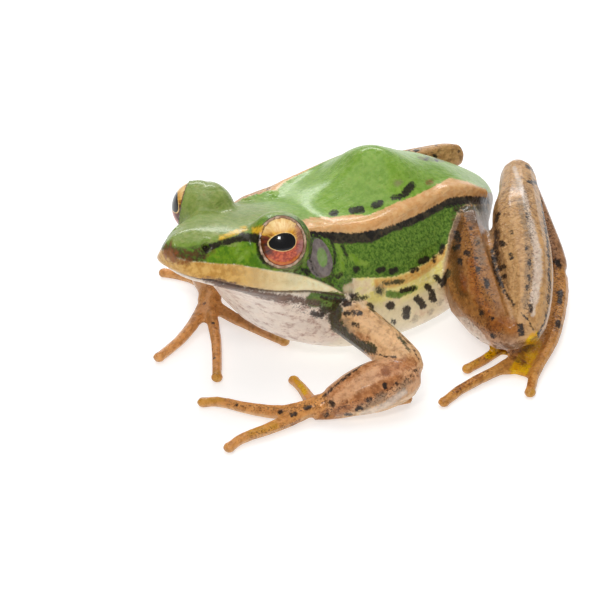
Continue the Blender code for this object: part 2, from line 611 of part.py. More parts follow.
def make_digits(side, name, joint, outward):
    """A hand or a foot: the palm, the digits, their tips and webs as one solid, flat on the floor."""
    paths = DIGITS[side][name]
    little = paths[-1] if name == "hand" else None
    paths = paths[:-1] if little else paths
    roots = np.array([path[0] for path in paths]).mean(axis=0)
    palm_at = np.array([path[1] for path in paths]).mean(axis=0)
    length = np.linalg.norm(palm_at - roots)
    turn = Vector(palm_at - roots).to_track_quat("Y", "Z").to_matrix()
    centre = Vector(roots + (palm_at - roots) * 0.45)
    palm = ball(name + "_" + side, centre, (1.55, length * 0.5 + 1.2, 1.15), turn, 14, 9)
    palm.data.materials.append(skin_of("bronze"))
    pieces = []
    for path in paths:
        pieces += [add_object("digit", digit(path)), tip_disc(path)]
    if name == "foot":
        for first, second, one, other in WEBS:
            pieces.append(web(paths[first], paths[second], one, other))
    boolean(palm, pieces, "UNION")
    trim(palm, Vector(joint) + outward * GAP / 2, -outward)
    if little:
        finger = add_object("digit", digit(little))
        clearance = grown(finger, GAP + 0.05)
        boolean(palm, [finger, tip_disc(little)], "UNION")
        boolean(bpy.data.objects["forearm_" + side], [clearance], "DIFFERENCE")
    trim(palm, Vector((0, 0, FLOOR)), Vector((0, 0, -1)))
    keep_largest(palm)


def trim(obj, point, normal):
    """Cuts an object flat at a plane given in millimetres, and keeps what lies against its normal."""
    bm = bmesh.new()
    bm.from_mesh(obj.data)
    bm.transform(Matrix.Scale(1 / MM, 4))
    keep_side(bm, point, normal)
    bmesh.ops.triangulate(bm, faces=bm.faces)
    bm.transform(Matrix.Scale(MM, 4))
    bm.to_mesh(obj.data)
    bm.free()


def centre_on_floor():
    """Moves the whole animal so that the middle of its floor plan is the origin."""
    corners = [v.co for obj in bpy.data.objects for v in obj.data.vertices]
    low = Vector(min(c[i] for c in corners) for i in range(3))
    high = Vector(max(c[i] for c in corners) for i in range(3))
    shift = Vector((-(low.x + high.x) / 2, -(low.y + high.y) / 2, -low.z))
    for obj in bpy.data.objects:
        obj.data.transform(Matrix.Translation(shift))


clear_scene()
make_torso()
make_head()
make_limbs("left")
make_limbs("right")
centre_on_floor()
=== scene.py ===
# The looks of the red-eared frog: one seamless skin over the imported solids, the eyes, light and camera.
# Lengths are in millimetres in the frog's own frame, before the part was centred on its floor plan: the
# frog looks along -Y, its left side is +X and the floor is 0. Meshes become metres when they are made.
import math
import random

import bmesh
import bpy
import numpy as np
from mathutils import Matrix, Vector
from mathutils.bvhtree import BVHTree
from mathutils.kdtree import KDTree

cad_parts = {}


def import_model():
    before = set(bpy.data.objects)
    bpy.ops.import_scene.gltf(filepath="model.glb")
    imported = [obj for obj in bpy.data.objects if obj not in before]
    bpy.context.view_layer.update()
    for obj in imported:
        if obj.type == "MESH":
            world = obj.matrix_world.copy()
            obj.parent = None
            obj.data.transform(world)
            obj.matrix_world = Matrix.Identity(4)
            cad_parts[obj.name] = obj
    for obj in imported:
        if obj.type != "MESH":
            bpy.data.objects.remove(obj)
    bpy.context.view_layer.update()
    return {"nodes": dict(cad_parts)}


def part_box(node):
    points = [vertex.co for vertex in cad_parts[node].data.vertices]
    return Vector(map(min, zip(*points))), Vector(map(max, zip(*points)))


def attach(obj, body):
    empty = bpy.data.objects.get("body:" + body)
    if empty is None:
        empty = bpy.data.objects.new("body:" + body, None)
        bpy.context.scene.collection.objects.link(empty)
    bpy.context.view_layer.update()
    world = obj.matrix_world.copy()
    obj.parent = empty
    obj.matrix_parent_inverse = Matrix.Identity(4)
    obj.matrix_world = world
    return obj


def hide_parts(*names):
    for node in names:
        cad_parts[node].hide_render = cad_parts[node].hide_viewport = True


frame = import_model()
mm = 0.001
atOnce = 20000   # points that are compared with a line together, which bounds the memory


# Small tools that several pieces share
def smoothStep(low, high, value):
    t = np.clip((value - low) / (high - low), 0, 1)
    return t * t * (3 - 2 * t)


def bell(value, width):
    return np.exp(-((value / width) ** 2))


def least(*values):
    return np.minimum.reduce(values)


def band(value, low, high):  # how far inside a band each value is
    return np.minimum(value - low, high - value)


def unit(v):
    v = np.asarray(v, float)
    return v / np.linalg.norm(v, axis=-1, keepdims=True)


def smoothCurve(knots, at):  # a smooth curve through (distance, value) knots that never overshoots them
    x, y = np.array(knots, float).T
    h, d = np.diff(x), np.diff(y) / np.diff(x)
    slope = np.zeros(len(x))
    w1, w2 = 2 * h[1:] + h[:-1], h[1:] + 2 * h[:-1]
    with np.errstate(divide="ignore", invalid="ignore"):
        mean = (w1 + w2) / (w1 / d[:-1] + w2 / d[1:])
    slope[1:-1] = np.where(d[:-1] * d[1:] > 0, mean, 0.0)
    slope[0], slope[-1] = d[0], d[-1]
    at = np.clip(at, x[0], x[-1])
    i = np.clip(np.searchsorted(x, at, side="right") - 1, 0, len(h) - 1)
    t = (at - x[i]) / h[i]
    return (
        (2 * t**3 - 3 * t**2 + 1) * y[i]
        + (t**3 - 2 * t**2 + t) * h[i] * slope[i]
        + (3 * t**2 - 2 * t**3) * y[i + 1]
        + (t**3 - t**2) * h[i] * slope[i + 1]
    )


# The body's axis, as the solids have it: places on the body are (distance from the snout, out, up)
body = {
    "snoutAt": (-29.0, 20.3),
    "length": 60.5,
    "pitch": ((0, 21.5), (21, 21.5), (27, 12.5), (32, 5), (40, 4), (50, 9), (61, 17)),
    "step": 0.25,
}


def axisLine():
    step = body["step"]
    along = np.arange(0, body["length"] + step, step)
    pitch = np.radians(smoothCurve(body["pitch"], along + step / 2))
    y = body["snoutAt"][0] + np.concatenate([[0], np.cumsum(np.cos(pitch) * step)])[:-1]
    z = body["snoutAt"][1] - np.concatenate([[0], np.cumsum(np.sin(pitch) * step)])[:-1]
    return along, y, z, np.radians(smoothCurve(body["pitch"], along))


bodyAxis = axisLine()


def onBody(s, out, up):
    along, y, z, pitch = bodyAxis
    p = np.interp(s, along, pitch)
    forward, high = np.interp(s, along, y), np.interp(s, along, z)
    return np.array([out, forward + math.sin(p) * up, high + math.cos(p) * up])


def bodyPlace(points):  # the (distance, out, up) of many points, out being positive on both sides
    along, y, z, pitch = bodyAxis
    nearest = np.zeros(len(points), int)
    for start in range(0, len(points), atOnce):
        part = points[start:start + atOnce]
        gaps = (part[:, 1:2] - y) ** 2 + (part[:, 2:3] - z) ** 2
        nearest[start:start + atOnce] = gaps.argmin(axis=1)
    dy, dz = points[:, 1] - y[nearest], points[:, 2] - z[nearest]
    c, s = np.cos(pitch[nearest]), np.sin(pitch[nearest])
    return along[nearest] + dy * c - dz * s, np.abs(points[:, 0]), dy * s + dz * c


# The eyes by side, the left being 1: the centre, the ways that the lids and the pupil face as if each eye
# were the left one, and half the lids' opening in degrees with what its top and bottom add
eyes = {
    1: {
        "at": (12.1, 6.6, 4.9),
        "faces": (0.65, -0.57, 0.49),
        "pupil": (0.65, -0.57, 0.49),
        "opening": (54.0, 9.5),
    },
    -1: {
        "at": (12.0, 6.8, 4.4),
        "faces": (0.82, -0.51, 0.14),
        "pupil": (0.60, -0.72, 0.34),
        "opening": (57.0, 1.0),
    },
}
eyeball = {
    "radius": 3.2,
    "pupil": (1.62, 1.06),      # half its length and height
    "pupilEnds": (1.06, 0.94),  # how far its front and rear ends reach, in half lengths
    "pupilBlunt": (1.5, 2.5),   # how round the two ends are
    "pupilTilt": 8.0,
    "rings": 72,
    "segments": 96,
}
lids = {  # widths around the eye are in degrees
    "radius": {1: 3.43, -1: 3.32},  # how far each side's rim stands from the eye's centre
    "wide": 4.5,
    "fades": 9.0,
    "reach": 34.0,
    "near": 5.2,                 # the lids shape the skin within this distance of the eye's centre
    "snap": 2.0,                 # points this near the edge are moved on to it
    "swell": (0.05, 0.55, 2.6),  # how high, where in widths of the rim, and how wide
    "groove": (0.12, 1.6, 2.4),
    "edgeDrop": 0.05,
    "clear": 0.09,               # how far the rim stays off the globe, and how far the skin lies under it
    "sunk": 0.45,
    "evenNear": 6.2,             # where the skin around the rims is evened
    "evenIn": 6.0,
    "evenOut": 22.0,
    "evenOutside": 0.8,          # skin this far outside the opening is kept clear of the globe
    "evenClear": 0.07,
}
frogShift = (  # from the frog's frame to the part's
    np.array((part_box("eye_left")[0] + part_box("eye_left")[1]) / 2) / mm - onBody(*eyes[1]["at"])
)

# The camera, as it was solved from the photo, which is 600 pixels square
photo = {
    "size": 600,
    "azimuth": 42.31,
    "elevation": 30.99,
    "distance": 457.09,
    "looksAt": (0.0, 0.0, 10.0),
    "focal": 3688.64,            # in pixels
    "centre": (330.26, 246.39),  # the pixel that shows the point looked at
    "sensor": 36,
    "clip": (0.01, 20),
}


def cameraAxes():
    a, e = math.radians(photo["azimuth"]), math.radians(photo["elevation"])
    back = np.array([math.sin(a) * math.cos(e), -math.cos(a) * math.cos(e), math.sin(e)])
    right = np.array([math.cos(a), math.sin(a), 0.0])
    up = np.cross(back, right)
    return np.array(photo["looksAt"]) + back * photo["distance"], right, up, back


def pixelRay(x, y):
    eyePoint, right, up, back = cameraAxes()
    dx = (x - photo["centre"][0]) / photo["focal"]
    dy = (photo["centre"][1] - y) / photo["focal"]
    return eyePoint, unit(right * dx + up * dy - back)


pixelsPerMm = photo["focal"] / photo["distance"]


def pixelsOf(points):  # where points of the left half, or their mirror images, fall in the photo
    eyePoint, right, up, back = cameraAxes()
    q = onLeft(points) - eyePoint
    depth = -(q @ back)
    x = photo["centre"][0] + photo["focal"] * (q @ right) / depth
    return x, photo["centre"][1] - photo["focal"] * (q @ up) / depth


def flipped(points, side):
    return points * np.stack([side, np.ones(len(points)), np.ones(len(points))], axis=1)


def onLeft(points):
    return flipped(points, np.where(points[:, 0] < 0, -1, 1))


# The skin: all the flesh as one closed surface
skinForm = {
    "grow": 0.3,         # closes the cuts between the solids, and is taken off again
    "voxel": 0.2,
    "quickVoxels": 1.6,
    "firstSteps": 3,
    "relaxSteps": 40,
    "evenSteps": 420,    # rounds that even out the body's flat faces
    "evenHead": 0.1,     # the share of them that the head gets
    "evenBlur": 12,      # rounds that soften where the body's share ends
    "offFloor": 0.02,
    "mostTriangles": 192000,
}
softJoints = {  # places where two forms meet in a rounded hollow: (x, y, z), radius, strength
    "kneeLeft": ((25.0, 6.2, 5.4), 3.2, 12),
    "kneeRight": ((-19.9, 5.05, 4.3), 3.0, 12),
    "heelLeft": ((5.3, 29.8, 9.9), 2.4, 20),
    "heelRight": ((-5.6, 30.3, 8.15), 3.4, 50),
    "tarsusRight": ((-8.5, 28.0, 7.8), 3.0, 50),
    "ankleLeft": ((17.3, 23.5, 2.9), 2.4, 10),
    "ankleRight": ((-16.5, 24.3, 2.8), 2.4, 10),
    "elbowLeft": ((20.8, -8.6, 4.95), 2.6, 12),
    "elbowRight": ((-18.3, -3.2, 5.2), 2.6, 12),
    "wristLeft": ((15.65, -17.5, 2.5), 2.0, 8),
    "wristRight": ((-12.1, -9.05, 2.5), 2.0, 8),
    "shoulderLeft": ((9.5, -7.6, 7.6), 4.0, 25),
    "shoulderRight": ((-9.0, -5.0, 7.4), 4.0, 25),
    "hipLeft": ((9.0, 17.0, 8.2), 4.5, 20),
    "hipRight": ((-9.0, 16.0, 7.0), 4.5, 20),
    "ribsLeft": ((9.0, -2.0, 10.0), 5.0, 10),
    "ribsRight": ((-9.0, -2.0, 10.0), 5.0, 10),
}


def gatherFlesh():  # every solid, merged, in the frog's frame, and which node each triangle is from
    bm, names = bmesh.new(), list(frame["nodes"])
    for number, name in enumerate(names):
        before = len(bm.faces)
        bm.from_mesh(frame["nodes"][name].data)
        bm.faces.ensure_lookup_table()
        for face in bm.faces[before:]:
            face.material_index = number
    bmesh.ops.remove_doubles(bm, verts=bm.verts, dist=1e-6)
    owner = [names[face.material_index] for face in bm.faces]
    for face in bm.faces:
        face.material_index = 0
    bm.transform(Matrix.Translation(Vector(-frogShift)) @ Matrix.Scale(1 / mm, 4))
    bm.normal_update()
    bm.faces.index_update()
    tree = BVHTree.FromBMesh(bm)
    moved = [(v, v.normal.copy()) for v in bm.verts]
    for v, normal in moved:
        v.co += normal * skinForm["grow"]
    mesh = bpy.data.meshes.new("flesh")
    bm.to_mesh(mesh)
    bm.free()
    return mesh, tree, owner


def applied(mesh, kind, share=None, **settings):  # a mesh with a modifier applied, by each point's share
    mesh = mesh.copy()
    obj = bpy.data.objects.new("working", mesh)
    bpy.context.scene.collection.objects.link(obj)
    if share is not None:
        group = obj.vertex_groups.new(name="share")
        levels = np.round(np.clip(share, 0, 1) * 20)
        for level in np.unique(levels):
            group.add(np.flatnonzero(levels == level).tolist(), level / 20, "REPLACE")
        settings["vertex_group"] = "share"
    modifier = obj.modifiers.new("step", kind)
    for key, value in settings.items():
        setattr(modifier, key, value)
    bpy.context.view_layer.update()
    result = bpy.data.meshes.new_from_object(obj.evaluated_get(bpy.context.evaluated_depsgraph_get()))
    bpy.data.objects.remove(obj)
    bpy.data.meshes.remove(mesh)
    return result


def keepLargest(mesh):
    bm = bmesh.new()
    bm.from_mesh(mesh)
    seen, shells = set(), []
    for first in bm.verts:
        if first in seen:
            continue
        shell, stack = [], [first]
        seen.add(first)
        while stack:
            v = stack.pop()
            shell.append(v)
            for e in v.link_edges:
                other = e.other_vert(v)
                if other not in seen:
                    seen.add(other)
                    stack.append(other)
        shells.append(shell)
    shells.sort(key=len)
    bmesh.ops.delete(bm, geom=[v for shell in shells[:-1] for v in shell], context="VERTS")
    bm.to_mesh(mesh)
    bm.free()


def readPoints(mesh):
    points = np.zeros(len(mesh.vertices) * 3)
    mesh.vertices.foreach_get("co", points)
    return points.reshape(-1, 3)


def writePoints(mesh, points):
    mesh.vertices.foreach_set("co", np.ascontiguousarray(points).ravel())
    mesh.update()


def readNormals(mesh):
    normals = np.zeros(len(mesh.vertices) * 3, np.float32)
    mesh.vertex_normals.foreach_get("vector", normals)
    return normals.reshape(-1, 3).astype(float)


def neighbourMean(mesh):  # a function that gives each point the mean of its neighbours' values
    edges = np.zeros(len(mesh.edges) * 2, int)
    mesh.edges.foreach_get("vertices", edges)
    a, b = edges.reshape(-1, 2).T
    count = len(mesh.vertices)
    here, there = np.concatenate([a, b]), np.concatenate([b, a])
    share = 1 / np.maximum(np.bincount(here, minlength=count), 1)

    def mean(values):
        flat = values.reshape(count, -1)
        columns = [np.bincount(here, weights=v[there], minlength=count) * share for v in flat.T]
        return np.stack(columns, axis=1).reshape(values.shape)

    return mean


def blurred(values, mean, rounds):
    for _ in range(rounds):
        values = mean(values)
    return values


def relax(points, mean, steps, shrink=0.5, swell=-0.53):  # evens the surface without thinning it
    for _ in range(steps):
        points = points + shrink * (mean(points) - points)
        points = points + swell * (mean(points) - points)
    return points


def roundHollows(points, mean):
    weight, most = np.zeros(len(points)), 0
    for at, radius, strength in softJoints.values():
        near = bell(np.linalg.norm(points - np.array(at), axis=1), radius)
        weight = np.maximum(weight, near * strength)
        most = max(most, strength)
    for step in range(most):
        share = np.clip(weight - step, 0, 1)[:, None]
        points = points + share * 0.5 * (mean(points) - points)
    return points


def evened(mesh, points, tree, owner, mean):  # rounds the solids' flat faces off and keeps the body's size
    shares = {"torso": 1.0, "head": skinForm["evenHead"], "lower_jaw": skinForm["evenHead"]}
    share = np.array([shares.get(nodeKind(k), 0.0) for k in nearestKinds(points, tree, owner)])
    share = blurred(share, mean, skinForm["evenBlur"])
    steps = skinForm["evenSteps"] // 1
    writePoints(mesh, points)
    once = readPoints(applied(mesh, "SMOOTH", share, factor=0.5, iterations=steps))
    writePoints(mesh, once)
    twice = readPoints(applied(mesh, "SMOOTH", share, factor=0.5, iterations=steps))
    return 2 * once - twice


# The eyes' own directions: sideways towards the snout, upwards, and the way they look
def eyeAxes(side, way="faces"):
    _, right, up, _ = cameraAxes()
    tilt = math.radians(eyeball["pupilTilt"])
    looks = unit(eyes[side][way])
    front = -right * math.cos(tilt) - up * math.sin(tilt)
    front = unit(front - looks * front.dot(looks))
    rise = np.cross(front, looks)
    rise = rise if rise[2] > 0 else -rise
    return [v * np.array([side, 1, 1]) for v in (front, rise, looks)]


# The eye's centre, and for many points the distance from it, the degrees off the eye's look, and the turn
# from its front
def eyePlace(points, side):
    centre = onBody(*eyes[side]["at"]) * np.array([side, 1, 1])
    front, rise, looks = eyeAxes(side)
    q = points - centre
    r = np.linalg.norm(q, axis=1)
    away = np.degrees(np.arccos(np.clip(q @ looks / np.maximum(r, 1e-9), -1, 1)))
    turn = np.arctan2(q @ rise, q @ front)
    return centre, r, away, turn


def pastOpening(points, side):  # degrees outside the lids' opening, with the distance and the turn
    wide, more = eyes[side]["opening"]
    _, r, away, turn = eyePlace(points, side)
    return away - wide - more * np.sin(turn) ** 2, r, turn


def shapeLids(points):  # the skin lies inside the eyeball within the opening, and hugs it in a raised rim
    globe = eyeball["radius"]
    high, highAt, highWide = lids["swell"]
    deep, deepAt, deepWide = lids["groove"]
    for side in (1, -1):
        radius = lids["radius"][side]
        centre, r, away, _ = eyePlace(points, side)
        past, _, _ = pastOpening(points, side)
        near = (r < lids["near"]) & (past < lids["reach"])
        snap = near & (np.abs(past) < lids["snap"])
        _, _, looks = eyeAxes(side)
        q = unit(points - centre)
        sideways = unit(q - looks * (q @ looks)[:, None])
        target = np.radians(np.where(snap, away - past, away))
        q = looks * np.cos(target)[:, None] + sideways * np.sin(target)[:, None]
        rim = radius + high * bell(past - lids["wide"] * highAt, highWide)
        rim = rim - deep * bell(past - lids["wide"] * deepAt, deepWide)
        wanted = np.where(snap, radius - lids["edgeDrop"], np.maximum(rim, globe + lids["clear"]))
        wanted = np.where(past < -lids["snap"], globe - lids["sunk"], wanted)
        wanted = r + (wanted - r) * smoothStep(lids["reach"], lids["fades"], past)
        points = np.where(near[:, None], centre + q * wanted[:, None], points)
    return points


def smoothLids(points, mean, steps=14):  # evens the skin around the rims, then keeps it clear of the globes
    weight = np.zeros(len(points))
    for side in (1, -1):
        past, r, _ = pastOpening(points, side)
        starts = smoothStep(lids["wide"], lids["wide"] + lids["evenIn"], past)
        ends = smoothStep(lids["reach"] + lids["evenOut"], lids["reach"], past)
        weight = np.maximum(weight, (r < lids["evenNear"]) * starts * ends)
    for _ in range(steps):
        points = points + 0.5 * weight[:, None] * (mean(points) - points)
    clear = eyeball["radius"] + lids["evenClear"]
    for side in (1, -1):
        centre, r, _, _ = eyePlace(points, side)
        past, _, _ = pastOpening(points, side)
        buried = ((r < clear) & (past > lids["evenOutside"]))[:, None]
        outwards = centre + (points - centre) * (clear / np.maximum(r, 0.1))[:, None]
        points = np.where(buried, outwards, points)
    return points


# Forms of the head and body that are finer than the solids
mouth = {
    "line": (  # (distance, up)
        (0, -0.55), (1.5, -0.85), (2.8, -0.85), (4.1, -0.6), (6, -0.85), (8.4, -1.05), (11.5, -1.12),
        (14, -0.92), (16.3, -0.72), (19.3, -0.93), (22, -1.3),
    ),
    "back": 22.2,
    "slope": 21.5,   # of the head, in degrees
    "snap": 0.11,    # points this near the line are moved on to it
    "deep": 0.34,
    "lip": 0.14,
}
nostril = {"at": (3.5, 2.65, 3.1), "radius": 0.46, "deep": 0.6, "rim": 0.12, "rimAt": 0.85}
ear = {
    "at": (17.7, 8.65, 3.35),
    "radii": (1.8, 2.42),
    "faces": (0.90, 0.08, 0.43),
    "leans": (0.0, 0.18, 1.0),
    "thick": 2.0,    # how far off its plane the skin still belongs to it
    "rim": 0.16,
    "dish": 0.13,
    "knob": 0.09,
}
foldForm = {
    "wide": 0.8,
    "high": 0.3,
    "groove": 0.35,     # of its height, below it
    "farDrop": 2.4,     # the far fold starts lower
    "dropEnds": (26, 19),
    "spineward": (-0.74, 0.0, 0.67),
    "fades": ((14, 0), (18, 0.6), (26, 1), (46, 1), (53, 1.5), (57, 0)),  # (distance, share of its height)
}


def mouthHeight(s, up):  # distance above the line of the mouth
    return up - smoothCurve(mouth["line"], s)


def carveMouth(points, normals):
    s, _, up = bodyPlace(points)
    height = mouthHeight(s, up)
    shown = smoothStep(mouth["back"] + 0.4, mouth["back"] - 1.2, s) * smoothStep(-1, 0.5, s + 1)
    shown = shown * (np.abs(height) < 3) * (normals[:, 2] < 0.75)
    snap = (np.abs(height) < mouth["snap"]) & (shown > 0.05)
    slope = math.radians(mouth["slope"])
    rise = np.array([0.0, math.sin(slope), math.cos(slope)])
    points = points - rise * (height * snap)[:, None]
    height = np.where(snap, 0, height)
    push = -mouth["deep"] * bell(height, 0.2) + mouth["lip"] * bell(height - 0.6, 0.45)
    push = push + 0.5 * mouth["lip"] * bell(height + 0.55, 0.4)
    return points + normals * (push * shown)[:, None]


def earOval(points):  # how far out on the eardrum's oval each point lies, 1 being its rim
    q = flipped(points, np.sign(points[:, 0])) - onBody(*ear["at"])
    faces, leans = unit(ear["faces"]), np.array(ear["leans"])
    upright = unit(leans - faces * faces.dot(leans))
    across = np.cross(upright, faces)
    oval = np.hypot(q @ across / ear["radii"][0], q @ upright / ear["radii"][1])
    return np.where(np.abs(q @ faces) < ear["thick"], oval, 9.0)


def shapeEar(points, normals):
    oval = earOval(points)
    push = ear["rim"] * bell(oval - 1.08, 0.13) - ear["dish"] * bell(oval, 0.82)
    push = push + ear["knob"] * bell(oval, 0.3)
    return points + normals * push[:, None]


def shapeNostrils(points, normals):
    s, out, up = bodyPlace(points)
    ahead, aside, above = nostril["at"]
    away = np.sqrt((s - ahead) ** 2 + (out - aside) ** 2 + (up - above) ** 2)
    push = -nostril["deep"] * bell(away, nostril["radius"] * 0.8)
    push = push + nostril["rim"] * bell(away - nostril["rimAt"], 0.3)
    return points + normals * push[:, None]


def raiseFolds(points, normals, foldAcross):
    across = foldAcross(points)
    high = foldForm["high"] * smoothCurve(foldForm["fades"], bodyPlace(points)[0])
    push = high * (bell(across, foldForm["wide"]) - foldForm["groove"] * bell(across + 1.5, 0.8))
    return points + normals * push[:, None]


# Lines and marks as the photo shows them, in its pixels, projected on to the skin from the camera
foldPixels = (
    (312, 224.5), (322, 223.5), (335, 226.5), (352, 225), (369, 223), (381, 219), (392, 214.5),
    (415, 206), (433, 197), (448, 189), (462, 188), (474, 190), (484, 193),
)


def hitSkin(tree, x, y):  # where the line of sight through a pixel meets the skin
    start, way = pixelRay(x, y)
    return tree.ray_cast(Vector(start), Vector(way))[0]


def densePixels(pixels, step=2.0):
    out = []
    for a, b in zip(pixels, pixels[1:]):
        count = max(int(math.dist(a, b) / step), 1)
        out += [tuple(np.array(a) + (np.array(b) - np.array(a)) * i / count) for i in range(count)]
    return out + [tuple(pixels[-1])]


def makeFoldAcross(tree):  # a function that gives points their signed distance from the fold's crest
    hits = [hitSkin(tree, *p) for p in densePixels(foldPixels)]
    line = np.array([h for h in hits if h is not None])
    line = line[np.argsort(bodyPlace(line)[0])]
    spineward = unit(foldForm["spineward"])

    def foldAcross(points):  # positive towards the spine
        q = onLeft(points)
        result = np.zeros(len(q))
        for start in range(0, len(q), atOnce):
            part = q[start:start + atOnce]
            gaps = part[:, None, :] - line[None, :, :]
            far = np.linalg.norm(gaps, axis=2)
            best = far.argmin(axis=1)
            rows = np.arange(len(part))
            result[start:start + atOnce] = far[rows, best] * np.sign(gaps[rows, best] @ spineward)
        drop = foldForm["farDrop"] * smoothStep(*foldForm["dropEnds"], bodyPlace(points)[0])
        return result + np.where(points[:, 0] < 0, drop, 0)

    return foldAcross


def surfaceTree(mesh, points):
    return BVHTree.FromPolygons([Vector(p) for p in points], [tuple(p.vertices) for p in mesh.polygons])


def makeSkinForm():
    flesh, tree, owner = gatherFlesh()
    voxel = skinForm["voxel"] * 1
    mesh = applied(flesh, "REMESH", mode="VOXEL", voxel_size=voxel, adaptivity=0.0)
    keepLargest(mesh)
    print("skin: remeshed,", len(mesh.vertices), "points")
    mean = neighbourMean(mesh)
    points = relax(readPoints(mesh), mean, skinForm["firstSteps"])
    writePoints(mesh, points)
    points = points - readNormals(mesh) * skinForm["grow"]
    points = relax(points, mean, skinForm["relaxSteps"])
    points = evened(mesh, roundHollows(points, mean), tree, owner, mean)
    print("skin: evened")
    points[:, 2] = np.maximum(points[:, 2], skinForm["offFloor"])
    writePoints(mesh, points)
    foldAcross = makeFoldAcross(surfaceTree(mesh, points))
    points = raiseFolds(points, readNormals(mesh), foldAcross)
    writePoints(mesh, points)
    for carve in (carveMouth, shapeEar, shapeNostrils):
        points = carve(points, readNormals(mesh))
        writePoints(mesh, points)
    points = smoothLids(shapeLids(points), mean)
    writePoints(mesh, points)
    mesh = thinned(mesh, points)
    print("skin: shaped,", len(mesh.polygons), "faces")
    return mesh, tree, owner, foldAcross


def thinned(mesh, points):  # fewer points, mostly where the camera doesn't look
    triangles = sum(len(p.vertices) - 2 for p in mesh.polygons)
    if triangles <= skinForm["mostTriangles"]:
        return mesh
    seen = smoothStep(-0.25, 0.15, readNormals(mesh) @ cameraAxes()[3])
    onHead = smoothStep(26, 14, bodyPlace(points)[0]) * (points[:, 0] > -3)
    weight = np.clip(0.15 + 0.55 * seen + 0.6 * onHead, 0, 1)
    settings = {
        "ratio": skinForm["mostTriangles"] / triangles,
        "use_collapse_triangulate": True,
        "vertex_group_factor": 0.6,
    }
    return applied(mesh, "DECIMATE", 1 - weight, **settings)


def toPart(mesh):  # from the frog's frame, in millimetres, to the part's, in metres
    writePoints(mesh, (readPoints(mesh) + frogShift) * mm)


def addPiece(name, mesh, slot, *replaced):
    toPart(mesh)
    mesh.shade_smooth()
    obj = bpy.data.objects.new(name, mesh)
    bpy.context.scene.collection.objects.link(obj)
    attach(obj, "root")
    if replaced:
        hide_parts(*replaced)
    return obj


# Where the skin's colours meet on the near side, as lines in the photo's pixels; the far side mirrors them
zoneLines = {
    "foldTop": (
        (296, 222), (312, 217), (335, 217), (352, 214.5), (369, 215), (381, 210), (392, 204.5),
        (415, 196), (433, 186.5), (450, 178), (467, 181.5), (480, 187.5), (490, 191),
    ),
    "foldBottom": (
        (296, 229), (312, 231), (335, 232), (352, 233), (369, 231), (381, 228.5), (392, 225), (415, 216),
        (433, 206.5), (450, 197.5), (467, 196), (480, 196.5), (490, 198),
    ),
    "borderBottom": (
        (296, 233), (312, 235), (325, 238), (335, 243.5), (371, 243), (381, 238), (392, 232),
        (415, 224.5), (438, 212), (450, 205.5), (470, 203), (490, 203),
    ),
    "flankBottom": (
        (330, 280), (345, 279), (365, 277.5), (378, 277.5), (390, 277), (399, 275), (408.5, 271.5),
        (418, 267), (427, 261.5), (434, 256), (441, 250), (450, 240), (460, 224), (468, 205),
    ),
    "crownBottom": (
        (150, 246), (162, 247), (172, 246), (186, 247), (199, 245), (214, 241), (222, 237.5), (235, 231),
        (247, 227), (256, 223), (262, 216), (281, 214), (300, 217), (312, 217),
    ),
    "lipTop": (
        (150, 240), (168, 250), (177, 258), (190, 261.5), (205, 262.5), (220, 264), (235, 264.5),
        (255, 268), (275, 271.5), (293, 274), (306, 277), (320, 282), (333, 288), (346, 296), (360, 304),
    ),
}
